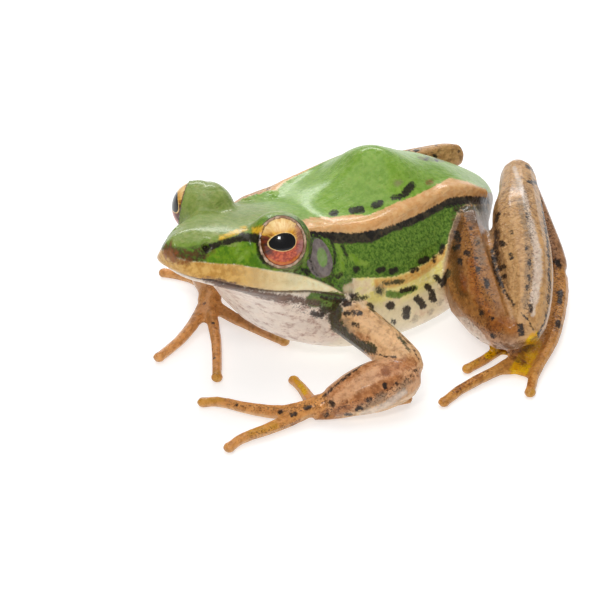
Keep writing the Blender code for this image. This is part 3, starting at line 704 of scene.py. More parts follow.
# Marks: half the width of each in pixels, and the points of its middle line
markLines = {
    "dark": (
        (3, (332, 213.5), (335.5, 213)), (3.8, (352, 210.5), (361, 209.5)),
        (3.6, (374, 205.2), (380.5, 203.6)), (3, (393.5, 197.8), (402, 196.3)),
        (4.2, (405.5, 192.5), (411.5, 185.8)), (2.5, (355.5, 268.5), (358, 269)),
        (3, (379, 270), (383, 269.5)), (3.2, (391.5, 271.5), (395.5, 270)),
        (2.8, (412, 270.5), (416.5, 269)), (3.5, (421, 261.5), (426, 259.5)),
        (2.6, (433.7, 261), (434, 257)), (2.8, (441.5, 252), (442.3, 246.5)),
        (2.6, (402, 290.5), (414, 288.5)), (4.6, (390.1, 305.6)), (4, (406.8, 309.5), (405.8, 315.5)),
        (3.8, (417.5, 298.5), (422.8, 305.5)), (3.2, (427, 286), (431.5, 292), (433, 299.5)),
        (3.2, (436.5, 277.5), (442.5, 284.5)), (3.2, (442.5, 284.5), (448.5, 272)), (2.6, (393.5, 321.5)),
        # the second mark on the next line, the thin line under the fold at the hip, is painted shadow
        (3.4, (369.5, 305.5), (373.5, 310.5)), (2.4, (448, 206), (462, 203), (478, 202), (488, 202)),
        (2.8, (346, 313.6), (354, 313.2)), (2.4, (357, 313), (360, 313.5)),
        (2.2, (351, 295.5), (357.5, 295)), (2.2, (344, 305), (349.5, 303.5)), (2, (353, 324), (358, 325)),
        (2, (322, 297), (333, 300)), (3.4, (314, 314), (321, 315)), (3, (335, 300), (345, 301)),
        # painted shade in the crease of the arm
        (0.9, (377, 354.5), (386, 356.5), (396.5, 356.8)),
        (1.2, (321.7, 398.6), (336, 385.5), (352, 372), (366, 362)),
        (0.8, (383, 318.5), (397, 330), (410, 344), (419.5, 359.5)), (2.2, (415.9, 370.5)),
        (3, (384.5, 386.2)), (2.2, (367.5, 400), (370.5, 398.3)), (2.4, (357, 409.5), (360, 408)),
        (2.6, (346.5, 415.8), (349.5, 415.2)), (2.5, (325.5, 415.5), (327.5, 414)),
        (2.5, (305.5, 408), (309.5, 407.2)), (2.4, (292, 414.8), (295.3, 413.6)),
        (2.2, (279, 412.5), (281, 412)), (1.4, (236.8, 405.1)), (2.4, (331, 402.5), (333.5, 405.5)),
        (1.6, (396.3, 383.5)), (2.2, (470.7, 228.4)), (3.4, (456.5, 234), (458, 239.5)),
        (2, (477.9, 242.7)), (3.2, (455, 248.5), (458, 247.5)), (2.8, (465.5, 252), (469, 255)),
        (2.2, (476.1, 257.9)), (2.4, (460, 260), (460.2, 263.5)), (2.6, (477.5, 268), (477.5, 271.5)),
        (2.8, (486.2, 280.5), (487.4, 285.5)), (2.6, (481.4, 311), (481.4, 314)),
        (2.2, (489.5, 318), (492, 318)), (3.2, (520.2, 326), (521.2, 333)),
        (2, (492, 335.5), (494, 337.5)), (1.8, (477.9, 338.2)), (2.4, (498.5, 214), (496.5, 219.5)),
        (2.4, (511.8, 232.5)), (2.4, (497.5, 232.5), (497.2, 237)), (3, (499.5, 243), (503, 244.5)),
        (2.2, (510.2, 254), (511.4, 258)), (2, (496.6, 255), (496.6, 259)),
        (2.6, (498.5, 268.5), (504, 266.5)), (2.8, (502.5, 277.5), (505, 275.5)),
        (1.6, (527, 213), (527, 217)), (1.4, (526.1, 245), (526.1, 249)),
        (1.6, (528.8, 275.5), (528.8, 279.5)), (1.5, (527, 286.5), (527, 290)),
        (2.4, (529, 181.5), (536, 183)), (2.2, (527, 166), (534, 171)),
        (1.8, (529.6, 260.5), (529.6, 264)), (2.2, (530.3, 306), (530.7, 311)),
        # painted shade in the gap between the thigh and the shank
        (2.2, (492.1, 250), (495.7, 272.1), (504.6, 291.8)), (1.6, (504.6, 291.8), (513.6, 304.3)),
        (1, (521, 313), (529, 321), (533, 331)), (2.2, (495.5, 232), (496.5, 262)),
        (2, (426, 160), (428, 156.5)), (2.2, (436, 161), (438, 157)), (2.2, (447, 161), (449, 156.5)),
        (2.4, (458, 159), (461, 153)), (2.2, (543.9, 216.8)), (2.2, (545.7, 229.3)),
        (3.2, (555.5, 261.5), (559.5, 265.5)), (3.2, (560, 293), (560, 301)),
        (2.6, (558.2, 322), (558.2, 326)),
        # painted shade along the gap where the tarsus lies against the shank
        (1.3, (541, 200), (546, 232), (549, 262), (549.5, 290), (546, 318), (538, 336)),
        (3.3, (211, 246.5), (229.6, 241), (245, 236.5)), (4.6, (243, 237), (257, 238)), (4, (206, 249.5)),
        (2, (258, 243), (259, 254), (264, 262), (272, 267)),
        (1, (312.5, 238), (310.5, 247), (310, 258), (313, 270), (318, 276)),
        (1.2, (331, 240), (334.5, 250), (335, 262), (332, 272)),
        (2.4, (311, 236), (322, 235.5), (333, 238)), (2.6, (303.8, 270), (308, 272)),
        (2.4, (337.7, 277), (341, 274)), (2.4, (355.5, 270.9)), (1.6, (342, 246), (347, 256)),
    ),
    "olive": (
        (6.4, (337, 309), (334, 316), (337, 326), (344, 335), (351, 341)),
        (5.6, (351, 341), (358, 345.5), (372, 348.5)), (3.8, (379.8, 290.5)),
        # the first mark on the next line, the band under the fold at the hip, is painted shadow
        (3.2, (456, 210), (470, 208), (486, 209)), (4, (322, 310), (332, 312)),
        (2.2, (352, 300), (366, 297)), (2.2, (385, 283), (402, 281)), (1.6, (398, 336), (410, 350)),
    ),
    "amber": (
        (4.4, (157, 355), (170, 346)), (4.2, (217, 382), (216.5, 368)), (3.6, (286, 341), (272, 334)),
        (4, (200, 401), (222, 397)), (3.6, (293, 376), (303, 392)), (4, (444, 411), (458, 404)),
        (4, (535, 405), (533, 394)), (3.6, (464, 369), (476, 361)), (3.2, (250, 432), (275, 426)),
    ),
    "lime": (
        (2.4, (306, 243), (306.5, 255), (303.5, 266)),
        (2.6, (337, 243), (341, 255), (342, 268), (339, 278)), (3, (351, 256), (358, 262), (366, 264)),
        (2.2, (240, 244), (236, 254)), (3, (247, 252), (240, 259)),
    ),
    "rust": (
        (1.8, (207, 250)), (5, (472, 262), (474, 285), (480, 302)), (4.5, (484, 306), (489, 318)),
        (6.5, (492, 326), (505, 323), (516, 329)), (6.5, (384, 372), (398, 366), (412, 361)),
        (7, (396, 378), (372, 393), (345, 408), (322, 419)), (4, (322, 419), (296, 424)),
        (3.4, (352, 336), (366, 339)), (3.6, (330, 394), (345, 381), (360, 369), (372, 362)),
        (4.5, (206, 306), (210, 322)), (3.6, (196, 330), (180, 345)), (3.4, (228, 320), (250, 330)),
        (3, (213, 335), (215, 352)), (4, (415, 150), (455, 156)), (3, (530, 385), (528, 376)),
        (3, (455, 390), (480, 375)),
    ),
    # shade: dark brown; along the thigh's left edge, under the knee and along the shank's left edge it is
    # painted shade, on the snout it is the skin's own brown
    "shade": (
        (6, (458, 222), (454, 245), (456, 272)), (5, (456, 272), (462, 294)),
        (3.6, (497, 345.5), (511, 348), (523, 344)), (4.2, (177, 252), (190, 256), (203, 256)),
        (4, (200, 252), (211, 249)), (3.4, (168, 238), (168, 247)),
        (1.8, (478, 300), (484, 317), (493, 336)), (2.6, (495, 214), (496, 240), (498, 262)),
        (4, (472, 214), (476, 224)), (3.4, (205, 322), (198, 318)), (2.4, (420, 158), (456, 162)),
        (2, (513, 356), (524, 364)), (2.4, (525, 350), (545, 330)),
    ),
    "pale": (
        (8, (450, 312), (464, 326), (482, 341)), (2, (514, 168), (523, 192)),
        (2.8, (523, 192), (530, 222)), (3.8, (530, 222), (537, 250)),
        (4.6, (537, 250), (538, 275), (534, 300)), (2.4, (534, 300), (533, 314)),
        (3.2, (404, 392), (384, 406), (360, 416), (344, 419)),
    ),
    "grey": (
        (2.8, (396.5, 183.5), (400, 182.5)), (6.2, (379.8, 290.5)), (5, (383.2, 397.3), (379, 399.5)),
        (3.6, (398.9, 389.4), (408, 382.5)), (3, (362, 408), (374, 403)), (3, (487, 229), (490, 237)),
        (3, (482, 243), (484, 248)), (5, (480, 207), (486, 216)), (2.6, (517, 181), (518, 187)),
        (3, (519.5, 200), (522, 208), (524, 222)),
        (3.4, (521, 200), (526, 222), (529, 250), (528, 285), (525, 305)), (2, (414, 321), (416.5, 317)),
        (1.8, (429.5, 312.5), (432.5, 310)), (8, (470, 212), (486, 222)), (4, (478, 240), (482, 262)),
        (5, (345, 322), (348, 332)), (1.8, (439.5, 303.5), (441.5, 300.5)),
    ),
    "fleck": (
        (9, (460, 212), (468, 232), (473, 255), (480, 280), (490, 305)), (6, (470, 320), (500, 332)),
        (4, (497, 215), (498, 250), (503, 285)), (5, (527, 190), (530, 230), (530, 280), (528, 310)),
        (6, (545, 215), (556, 260), (560, 300), (556, 330)),
        (6, (415, 372), (390, 392), (360, 405), (330, 408)), (5, (290, 410), (330, 402)),
        (4, (230, 405), (290, 412)), (4, (250, 436), (310, 420)), (9, (205, 295), (212, 320)),
        (5, (200, 322), (170, 350)), (4, (212, 335), (216, 372)), (4, (225, 318), (262, 332)),
        (9, (300, 304), (330, 312)), (8, (330, 300), (352, 300)), (5, (332, 312), (340, 332), (365, 350)),
        (5, (455, 390), (480, 375), (510, 352)), (4, (470, 362), (500, 350)), (5, (420, 150), (460, 152)),
    ),
    "brown": (
        (2.4, (428, 182.5), (431, 181.5)), (4, (385.8, 372.4)), (4, (463, 278), (464, 288)),
        (6, (164, 240), (166, 250)), (6, (166, 250), (174, 257)), (3.4, (174, 259), (188, 262)),
        (2.2, (521, 352), (524, 362)), (1.8, (503, 349), (497, 356)),
    ),
    "purple": (
        (2.6, (205, 279), (222, 284)), (4.8, (218, 283), (242, 290.5), (262, 295.5), (290, 299)),
        (3.4, (290, 299), (318, 303.5)),
    ),
    "green": (
        (3.6, (389, 294), (398, 295)), (3, (398, 295), (415, 288)), (7.5, (313, 300), (335, 299)),
        (3, (335, 297), (342, 296)), (4, (325, 308), (334, 306)),
    ),
    "golden": (
        (4.2, (256, 231), (262, 230)), (8, (535, 340), (526, 358)), (8, (526, 358), (518, 372)),
        (7, (490, 352), (504, 354)), (3, (296, 378), (305, 392)),
        (2.2, (221, 238), (233, 233.5), (245, 228)),
    ),
    "cream": (
        (4.2, (347, 289), (357, 284), (368, 283)), (3, (362, 292), (372, 288)),
        (3.4, (386, 304), (398, 300)), (2.6, (360, 300), (364, 306)), (3.2, (418, 313), (426, 311)),
    ),
}
scatter = {  # spots on the limbs' hidden sides: how many on each, and their radii
    "counts": {
        "thigh_right": 16,
        "shank_right": 15,
        "tarsus_right": 7,
        "upper_arm_right": 7,
        "forearm_right": 8,
        "hand_right": 6,
        "foot_right": 6,
        "thigh_left": 9,
        "shank_left": 9,
        "tarsus_left": 4,
    },
    "radii": (0.24, 0.42),
    "seed": 11,
}


def tone(*levels):  # an sRGB colour, 0 to 255, as the shader reads it
    shares = [level / 255 for level in levels]
    return tuple(c / 12.92 if c <= 0.04045 else ((c + 0.055) / 1.055) ** 2.4 for c in shares)


groundTones = {  # the colour under all marks, on top and underneath
    "torso": (tone(236, 222, 180), tone(244, 234, 212)),
    "head": (tone(214, 196, 168), tone(240, 228, 214)),
    "lower_jaw": (tone(232, 218, 198), tone(242, 228, 214)),
    "eardrum": (tone(116, 104, 100), tone(116, 104, 100)),
    "eye": (tone(104, 116, 52), tone(70, 60, 44)),
    "upper_arm": (tone(224, 180, 134), tone(228, 192, 154)),
    "forearm": (tone(212, 162, 122), tone(228, 192, 152)),
    "hand": (tone(212, 150, 90), tone(222, 178, 128)),
    "thigh": (tone(156, 107, 59), tone(220, 188, 166)),
    "shank": (tone(196, 154, 106), tone(204, 164, 120)),
    "tarsus": (tone(168, 124, 88), tone(194, 152, 112)),
    "foot": (tone(204, 146, 82), tone(208, 158, 92)),
}
bodyKinds = ("torso", "head", "lower_jaw", "eardrum", "eye")
unbounded = 99.0
zones = {  # ends in millimetres from the snout, the lowest height on the body, and how far on to the limbs
    "fold": {"to": 59.0, "ontoLimbs": 1.0},
    "back": {"above": -1.0},
    # the rump below the fold: brown skin darkened with painted shade where it lies between the body and the
    # shank
    "rump": {"above": -4.5, "ontoLimbs": 1.2},
    "border": {"to": 58.5, "above": 1.5, "ontoLimbs": 0.4},
    "flank": {"from": 20.5, "to": 52.5, "above": -0.8},
    "seam": {"from": 27.0, "to": 48.0, "above": -2.5},
    "yellow": {"from": 24.0, "to": 50.0, "above": -4.0},
    "lip": {"to": 24.5},
    "cheek": {"to": 23.5},
    "loreal": {"from": 3.3, "to": 11.5, "ontoLimbs": unbounded},
}
softEnds = {  # where colours start or end gradually: millimetres from the snout, and how fast
    "crown": (19.0, 0.3),
    "rump": (48.0, 0.4),
    "lipBack": (11.5, 0.032),
    "throat": (25.0, 1.0),
    "mouthLine": (22.4, 0.5),
}
foldBands = {  # edges by their distance from the fold's crest, positive towards the spine
    "near": (-2.6, 2.6),
    "far": (-0.95, 0.5),
    "farBorder": (-2.1, -0.8),
    "borderLow": -3.2,
    "rumpHigh": 0.6,
    "nearBack": 1.0,
    "farBack": 0.4,
}
behindEye = {"fades": (15, 17.5), "starts": 15.5}
lidTones = {  # how near the eye's centre each lies, and its width in rims: above, and what it gains below
    # a pale rim on the lids; below and in front it widens into a painted highlight on the lower lid
    "lidRim": {"near": 5.0, "wide": {1: (0.22, 0.5), -1: (0.0, 0.3)}},
    "lidShade": {"near": 5.4, "wide": {1: (1.05, 1.5), -1: (0.25, 0.6)}},
}


def nodeKind(name):
    return name.replace("_left", "").replace("_right", "")


def nearestKinds(points, tree, owner):  # which solid each point of the skin is nearest to
    return [owner[tree.find_nearest(Vector(p))[2]] for p in points]


def lineHeight(name, x, y):  # millimetres above a line of zoneLines, as the photo shows them
    line = np.array(zoneLines[name])
    return (np.interp(x, line[:, 0], line[:, 1]) - y) / pixelsPerMm


def groundColour(normals, kinds, mean):
    under = smoothStep(0.15, -0.55, normals[:, 2])[:, None]
    colour = np.zeros((len(normals), 3))
    for kind, (top, beneath) in groundTones.items():
        which = np.array([nodeKind(k) == kind for k in kinds])
        colour[which] = (np.array(top) * (1 - under) + np.array(beneath) * under)[which]
    return blurred(colour, mean, 8)


def bodyShare(kinds, mean):  # 1 on the body and head, 0 on the limbs, softly
    return blurred(np.array([nodeKind(k) in bodyKinds for k in kinds], float), mean, 5)


def isFarBrow(points, normals):
    _, r, _, _ = eyePlace(points, -1)
    return (points[:, 0] < -1.5) & (r < 6.2) & (normals @ cameraAxes()[3] > -0.1)


def inMark(radius, gap):  # how far inside a mark a point lies, by its distance from the middle
    return (radius * radius - gap * gap) / (2 * radius)


def markField(points, normals, lines, skinTree, finder, kinds, foldAcross):
    toCamera = cameraAxes()[3]
    px, py = pixelsOf(points)
    farBrow = isFarBrow(points, normals)
    field = np.full(len(points), -0.6)
    for half, *pixels in lines:
        radius = half / pixelsPerMm
        samples = densePixels(pixels, 1.0) if len(pixels) > 1 else pixels
        for x, y in samples:
            hit = hitSkin(skinTree, x, y)
            if hit is None:
                continue
            onLimb = nodeKind(kinds[finder.find(hit)[1]]) not in bodyKinds
            mirrored = not onLimb and foldAcross(np.array([hit]))[0] < 0.5
            places = [hit, Vector((-hit.x, hit.y, hit.z))] if mirrored else [hit]
            for place in places:
                for _, index, far in finder.find_range(place, radius * 1.6 + 0.5):
                    gap = math.hypot(px[index] - x, py[index] - y) / pixelsPerMm
                    if onLimb and normals[index] @ toCamera < -0.1:
                        gap = far
                    if place is not hit and farBrow[index]:
                        continue
                    gap = max(gap, 0.45 * far)
                    field[index] = max(field[index], inMark(radius, gap))
    return field


def scatterSpots(points, normals, kinds, finder, field):
    rng = random.Random(scatter["seed"])
    toCamera = cameraAxes()[3]
    byKind = {}
    for index, kind in enumerate(kinds):
        byKind.setdefault(kind, []).append(index)
    for kind, count in scatter["counts"].items():
        choice = [i for i in byKind.get(kind, []) if kind.endswith("right") or normals[i] @ toCamera < -0.15]
        choice = [i for i in choice if normals[i][2] > -0.3]
        for _ in range(count if choice else 0):
            middle = rng.choice(choice)
            radius = rng.uniform(*scatter["radii"])
            for _, index, far in finder.find_range(Vector(points[middle]), radius + 0.5):
                field[index] = max(field[index], inMark(radius, far))
    return field


def setFloat(mesh, name, values):
    layer = mesh.attributes.new(name, "FLOAT", "POINT")
    layer.data.foreach_set("value", np.ascontiguousarray(values, dtype=np.float32))


# Each field says how far inside its colour a point lies, in millimetres, negative being outside
def within(name, s, up, offLimbs):  # the part of a field that its zone's ends, floor and limbs set
    zone = zones[name]
    along = band(s, zone.get("from", -unbounded), zone.get("to", unbounded))
    return least(along, up - zone.get("above", -unbounded), offLimbs + zone.get("ontoLimbs", 0.0))


def before(name, s):
    end, pace = softEnds[name]
    return (end - s) * pace


def paintBody(mesh, points, normals, across, offLimbs):
    s, out, up = bodyPlace(points)
    px, py = pixelsOf(points)
    foldTop, foldBottom = lineHeight("foldTop", px, py), lineHeight("foldBottom", px, py)
    crownBottom, flankBottom = lineHeight("crownBottom", px, py), lineHeight("flankBottom", px, py)
    farSide, behindCrown = points[:, 0] < -1.5, s > behindEye["starts"]
    behind = smoothStep(*behindEye["fades"], s) * 6 - 3
    fold = least(-foldTop, foldBottom, band(across, *foldBands["near"]))
    fold = np.where(farSide, band(across, *foldBands["far"]), fold)
    back = np.where(across > foldBands["nearBack"], across - foldBands["nearBack"], -9)
    back = np.where(behindCrown, np.maximum(foldTop, back), crownBottom)
    back = np.where(farSide & behindCrown, across - foldBands["farBack"], back)
    crownMiddle = (out < 4.2) & (s < softEnds["crown"][0]) & (up > 3.5)
    back = np.where(crownMiddle, np.maximum(back, 0.5), back)
    back = np.where(isFarBrow(points, normals), 1.0, back)
    below = 0.3 - foldBottom
    border = np.minimum(below, lineHeight("borderBottom", px, py))
    border = np.where(farSide, band(across, *foldBands["farBorder"]), border)
    fields = {
        "fold": least(fold, behind),
        "back": least(back, mouthHeight(s, up) + 1.0),
        # the rump from 48 mm back, below the fold: brown skin and painted shade between the body and the
        # shank
        "rump": least(-before("rump", s), foldBands["rumpHigh"] - across),
        "border": least(border, behind, across - foldBands["borderLow"]),
        "flank": least(below, flankBottom, behind),
        "seam": 0.62 - np.abs(flankBottom + 0.75),
        "yellow": flankBottom + 3.4,
    }
    for name, values in fields.items():
        setFloat(mesh, name, least(values, within(name, s, up, offLimbs)))
    setFloat(mesh, "crown", least(before("crown", s), back))


def paintHead(mesh, points, offLimbs, limb):
    s, _, up = bodyPlace(points)
    px, py = pixelsOf(points)
    height = mouthHeight(s, up)
    lipTop, crownBottom = lineHeight("lipTop", px, py), lineHeight("crownBottom", px, py)
    behindCrown = 4 * (s < 14) - lineHeight("foldTop", px, py)
    fields = {
        "lip": least(-lipTop, height + 0.05),
        "cheek": least(lipTop, behindCrown, height - 0.5),
        "loreal": least(lipTop, -crownBottom, height - 0.3),
    }
    for name, values in fields.items():
        fields[name] = least(values, within(name, s, up, offLimbs))
        setFloat(mesh, name, fields[name])
    setFloat(mesh, "lipBack", least(fields["lip"], -before("lipBack", s)))
    throat = least(-height, before("throat", s), (10 - up) * 0.2)
    setFloat(mesh, "throat", throat * (limb < 0.5))
    oval = earOval(points)
    for name, edge in (("drum", 1.0), ("drumHeart", 0.48)):
        setFloat(mesh, name, np.clip((edge - oval) * 1.8, -1.5, 1.5))
    # a dark line along the mouth: painted shade in the slit between the lips
    mouthLine = least(0.16 - np.abs(height), before("mouthLine", s), offLimbs)
    setFloat(mesh, "mouthLine", np.where(np.abs(height) < 2, mouthLine, -1))


def paintLids(mesh, points):
    for name, lidTone in lidTones.items():
        field = np.full(len(points), -2.0)
        for side, (above, gained) in lidTone["wide"].items():
            past, r, turn = pastOpening(points, side)
            low = 0.5 - 0.5 * np.sin(turn - 0.4)   # 1 below and in front, 0 above and behind
            inside = (lids["wide"] * (above + gained * low) - past) * 0.06
            field = np.where(r < lidTone["near"], np.maximum(field, inside), field)
        setFloat(mesh, name, field)


def paintMarks(mesh, points, normals, kinds, foldAcross):
    skinTree = surfaceTree(mesh, points)
    finder = KDTree(len(points))
    for index, point in enumerate(points):
        finder.insert(point, index)
    finder.balance()
    for name, lines in markLines.items():
        field = markField(points, normals, lines, skinTree, finder, kinds, foldAcross)
        if name == "dark":
            field = scatterSpots(points, normals, kinds, finder, field)
        setFloat(mesh, name, field)


def paintSkin(mesh, solidTree, owner, foldAcross):
    points, normals = readPoints(mesh), readNormals(mesh)
    mean = neighbourMean(mesh)
    kinds = nearestKinds(points, solidTree, owner)
    colour = groundColour(normals, kinds, mean)
    layer = mesh.attributes.new("ground", "FLOAT_COLOR", "POINT")
    layer.data.foreach_set("color", np.c_[colour, np.ones(len(points))].astype(np.float32).ravel())
    onBodyShare = bodyShare(kinds, mean)
    limb, offLimbs = 1 - onBodyShare, (onBodyShare - 0.5) * 3
    setFloat(mesh, "limb", limb)
    paintBody(mesh, points, normals, foldAcross(points), offLimbs)
    paintHead(mesh, points, offLimbs, limb)
    paintLids(mesh, points)
    paintMarks(mesh, points, normals, kinds, foldAcross)
    print("skin: painted,", len(points), "points")


# Small tools for node materials
def addNode(tree, kind, inputs=None, **settings):
    node = tree.nodes.new(kind)
    for key, value in settings.items():
        setattr(node, key, value)
    for key, value in (inputs or {}).items():
        if isinstance(value, bpy.types.NodeSocket):
            tree.links.new(value, node.inputs[key])
        else:
            node.inputs[key].default_value = value
    return node


def calc(tree, operation, a, b=0.0):
    return addNode(tree, "ShaderNodeMath", {0: a, 1: b}, operation=operation).outputs[0]


def plus(tree, a, b):
    return calc(tree, "ADD", a, b)


def times(tree, a, b):
    return calc(tree, "MULTIPLY", a, b)


def ramped(tree, value, low, high, start=0.0, end=1.0):
    inputs = {"Value": value, "From Min": low, "From Max": high, "To Min": start, "To Max": end}
    return addNode(tree, "ShaderNodeMapRange", inputs, interpolation_type="SMOOTHSTEP").outputs["Result"]


def mixed(tree, factor, a, b, blend="MIX"):
    a, b = [(*c, 1) if isinstance(c, tuple) and len(c) == 3 else c for c in (a, b)]
    inputs = {0: factor, 6: a, 7: b}
    return addNode(tree, "ShaderNodeMix", inputs, data_type="RGBA", blend_type=blend).outputs[2]


def read(tree, name, output="Fac"):
    return addNode(tree, "ShaderNodeAttribute", attribute_name=name).outputs[output]


def noise(tree, coords, scale, detail=3.0, rough=0.55):
    inputs = {"Vector": coords, "Scale": scale, "Detail": detail, "Roughness": rough}
    return addNode(tree, "ShaderNodeTexNoise", inputs).outputs["Fac"]


def newMaterial(name):
    material = bpy.data.materials.new(name)
    material.use_nodes = True
    return material, material.node_tree, material.node_tree.nodes["Principled BSDF"]


def setInputs(shader, values):
    for name, value in values.items():
        shader.inputs[name].default_value = value


def millimetres(tree):
    coords = addNode(tree, "ShaderNodeTexCoord").outputs["Object"]
    return addNode(tree, "ShaderNodeVectorMath", {0: coords, 3: 1000.0}, operation="SCALE").outputs[0]


def layered(tree, colour, layers, waver, patterns, spread):  # lays each layer over the colour so far
    for name, first, second, soft, wavers, shows in layers:
        inside = plus(tree, read(tree, name), times(tree, waver, wavers * 3.0))
        mask = ramped(tree, inside, -soft, soft, 0.0, shows)
        pattern = ramped(tree, patterns.get(name, patterns["usual"]), *spread)
        colour = mixed(tree, mask, colour, mixed(tree, pattern, first, second))
    return colour


# The skin's layers from the bottom up: attribute, two tones that mottle into each other, how soft the
# edge is, how far it wavers, and how much of it shows
skinLayers = (
    ("yellow", tone(232, 216, 118), tone(242, 230, 160), 0.7, 0.5, 0.9),
    ("seam", tone(212, 152, 74), tone(224, 184, 104), 0.22, 0.35, 0.9),
    ("cheek", tone(92, 132, 34), tone(44, 46, 22), 0.2, 0.3, 1.0),
    ("flank", tone(58, 92, 14), tone(112, 146, 52), 0.12, 0.35, 1.0),
    ("loreal", tone(78, 120, 8), tone(112, 148, 22), 0.12, 0.3, 1.0),
    ("back", tone(114, 154, 44), tone(134, 170, 66), 0.14, 0.2, 1.0),
    ("crown", tone(122, 138, 66), tone(142, 152, 86), 0.9, 0.5, 0.8),
    ("lime", tone(138, 166, 66), tone(110, 148, 30), 0.2, 0.3, 0.9),
    # the rump's brown, darkened as painted shade between the body and the shank
    ("rump", tone(122, 96, 64), tone(76, 60, 40), 0.5, 0.6, 0.92),
    ("border", tone(26, 22, 16), tone(64, 58, 42), 0.14, 0.45, 1.0),
    ("fold", tone(214, 158, 98), tone(224, 178, 122), 0.12, 0.3, 1.0),
    ("lip", tone(218, 174, 98), tone(190, 140, 66), 0.14, 0.25, 1.0),
    ("lipBack", tone(255, 248, 208), tone(252, 236, 184), 0.2, 0.1, 1.0),
    ("lidShade", tone(44, 36, 18), tone(84, 80, 38), 0.08, 0.16, 0.9),
    ("drum", tone(108, 98, 96), tone(132, 122, 118), 0.1, 0.1, 1.0),
    ("drumHeart", tone(112, 146, 72), tone(134, 156, 100), 0.14, 0.12, 1.0),
    # the lids' pale rim, partly a painted highlight on the lower lid
    ("lidRim", tone(222, 192, 166), tone(150, 112, 88), 0.04, 0.05, 0.85),
    ("rust", tone(168, 98, 38), tone(134, 72, 26), 0.5, 0.7, 0.7),
    ("amber", tone(212, 166, 66), tone(188, 132, 48), 0.5, 0.5, 0.7),
    ("pale", tone(226, 212, 198), tone(204, 184, 168), 0.2, 0.35, 0.8),
    ("golden", tone(214, 154, 8), tone(230, 186, 44), 0.3, 0.4, 0.92),
    ("cream", tone(240, 222, 190), tone(226, 196, 160), 0.25, 0.35, 0.75),
    ("green", tone(64, 104, 16), tone(104, 140, 50), 0.15, 0.3, 0.95),
    ("purple", tone(70, 44, 36), tone(108, 80, 66), 0.25, 0.5, 0.92),
    ("grey", tone(104, 88, 70), tone(130, 114, 94), 0.35, 0.5, 0.6),
    ("shade", tone(62, 36, 16), tone(92, 56, 24), 0.4, 0.7, 0.8),
    ("brown", tone(92, 44, 20), tone(136, 78, 36), 0.35, 0.4, 0.85),
    # mouthLine: painted shade in the slit between the lips
    ("mouthLine", tone(54, 36, 28), tone(84, 60, 48), 0.08, 0.05, 0.8),
    ("olive", tone(20, 18, 8), tone(62, 64, 28), 0.2, 0.5, 0.95),
    ("dark", tone(16, 11, 8), tone(40, 30, 22), 0.13, 0.34, 0.96),
)
skinBumps = {"granules": 0.0001, "wrinkles": 0.00055}   # in metres
skinShine = {
    "Specular IOR Level": 0.14,
    "Coat Weight": 0.42,
    "Coat Roughness": 0.2,
    "Subsurface Weight": 0.08,
    "Subsurface Radius": (0.0006, 0.0003, 0.0002),
    "Subsurface Scale": 1.0,
}
skinRoughness = (0.36, 0.48)


def skinMaterial():
    material, tree, shader = newMaterial("frogSkin")
    coords = millimetres(tree)
    fine, mid, broad = noise(tree, coords, 4.2), noise(tree, coords, 1.3), noise(tree, coords, 0.35, 2.0)
    ragged, blotch = noise(tree, coords, 2.6, 5.0, 0.7), noise(tree, coords, 0.75, 5.0, 0.65)
    waver = plus(tree, times(tree, ragged, 0.6), times(tree, mid, 0.4))
    waver = calc(tree, "SUBTRACT", waver, 0.5)
    limb = read(tree, "limb")
    colour = read(tree, "ground", "Color")
    shade = times(tree, ramped(tree, mid, 0.4, 0.68), plus(tree, times(tree, limb, 0.5), 0.12))
    colour = mixed(tree, shade, colour, mixed(tree, 1.0, colour, (0.5, 0.42, 0.34), "MULTIPLY"))
    blush = times(tree, ramped(tree, blotch, 0.47, 0.66), ramped(tree, read(tree, "throat"), 0.2, 1.5))
    blush = times(tree, blush, ramped(tree, ragged, 0.35, 0.6, 0.35, 0.85))
    colour = mixed(tree, blush, colour, tone(168, 124, 106))
    patterns = {"usual": mid, "dark": fine}
    for name in ("flank", "cheek", "olive", "amber"):
        patterns[name] = ragged
    colour = layered(tree, colour, skinLayers, waver, patterns, (0.36, 0.64))
    flecks = times(tree, ramped(tree, fine, 0.52, 0.6), ramped(tree, read(tree, "fleck"), -0.3, 0.5))
    colour = mixed(tree, times(tree, flecks, 0.85), colour, tone(62, 34, 20))
    glaze = mixed(tree, ramped(tree, broad, 0.3, 0.7), (0.8, 0.8, 0.8), (1.12, 1.1, 1.08))
    colour = mixed(tree, 0.3, colour, mixed(tree, 1.0, colour, glaze, "MULTIPLY"))
    deeper = {"Saturation": 1.04, "Value": 1.03, "Fac": limb, "Color": colour}
    colour = addNode(tree, "ShaderNodeHueSaturation", deeper).outputs["Color"]
    tree.links.new(colour, shader.inputs["Base Color"])
    tree.links.new(skinBump(tree, coords, limb), shader.inputs["Normal"])
    tree.links.new(ramped(tree, fine, 0.3, 0.7, *skinRoughness), shader.inputs["Roughness"])
    setInputs(shader, skinShine)
    return material


def skinBump(tree, coords, limb):  # granules, stronger on the limbs, and wrinkles drawn out along the body
    cells = addNode(tree, "ShaderNodeTexVoronoi", {"Vector": coords, "Scale": 2.3}, feature="F1")
    granule = ramped(tree, cells.outputs["Distance"], 0.05, 0.55, 1.0, 0.0)
    strength = plus(tree, times(tree, limb, 0.5), 0.35)
    granules = {"Height": granule, "Strength": strength, "Distance": skinBumps["granules"]}
    bumps = addNode(tree, "ShaderNodeBump", granules).outputs[0]
    drawn = addNode(tree, "ShaderNodeVectorMath", {0: coords, 1: (1.0, 0.22, 1.0)}, operation="MULTIPLY")
    streak = noise(tree, drawn.outputs[0], 1.1, 4.0, 0.6)
    wrinkles = {"Height": streak, "Strength": 0.6, "Distance": skinBumps["wrinkles"], "Normal": bumps}
    return addNode(tree, "ShaderNodeBump", wrinkles).outputs[0]


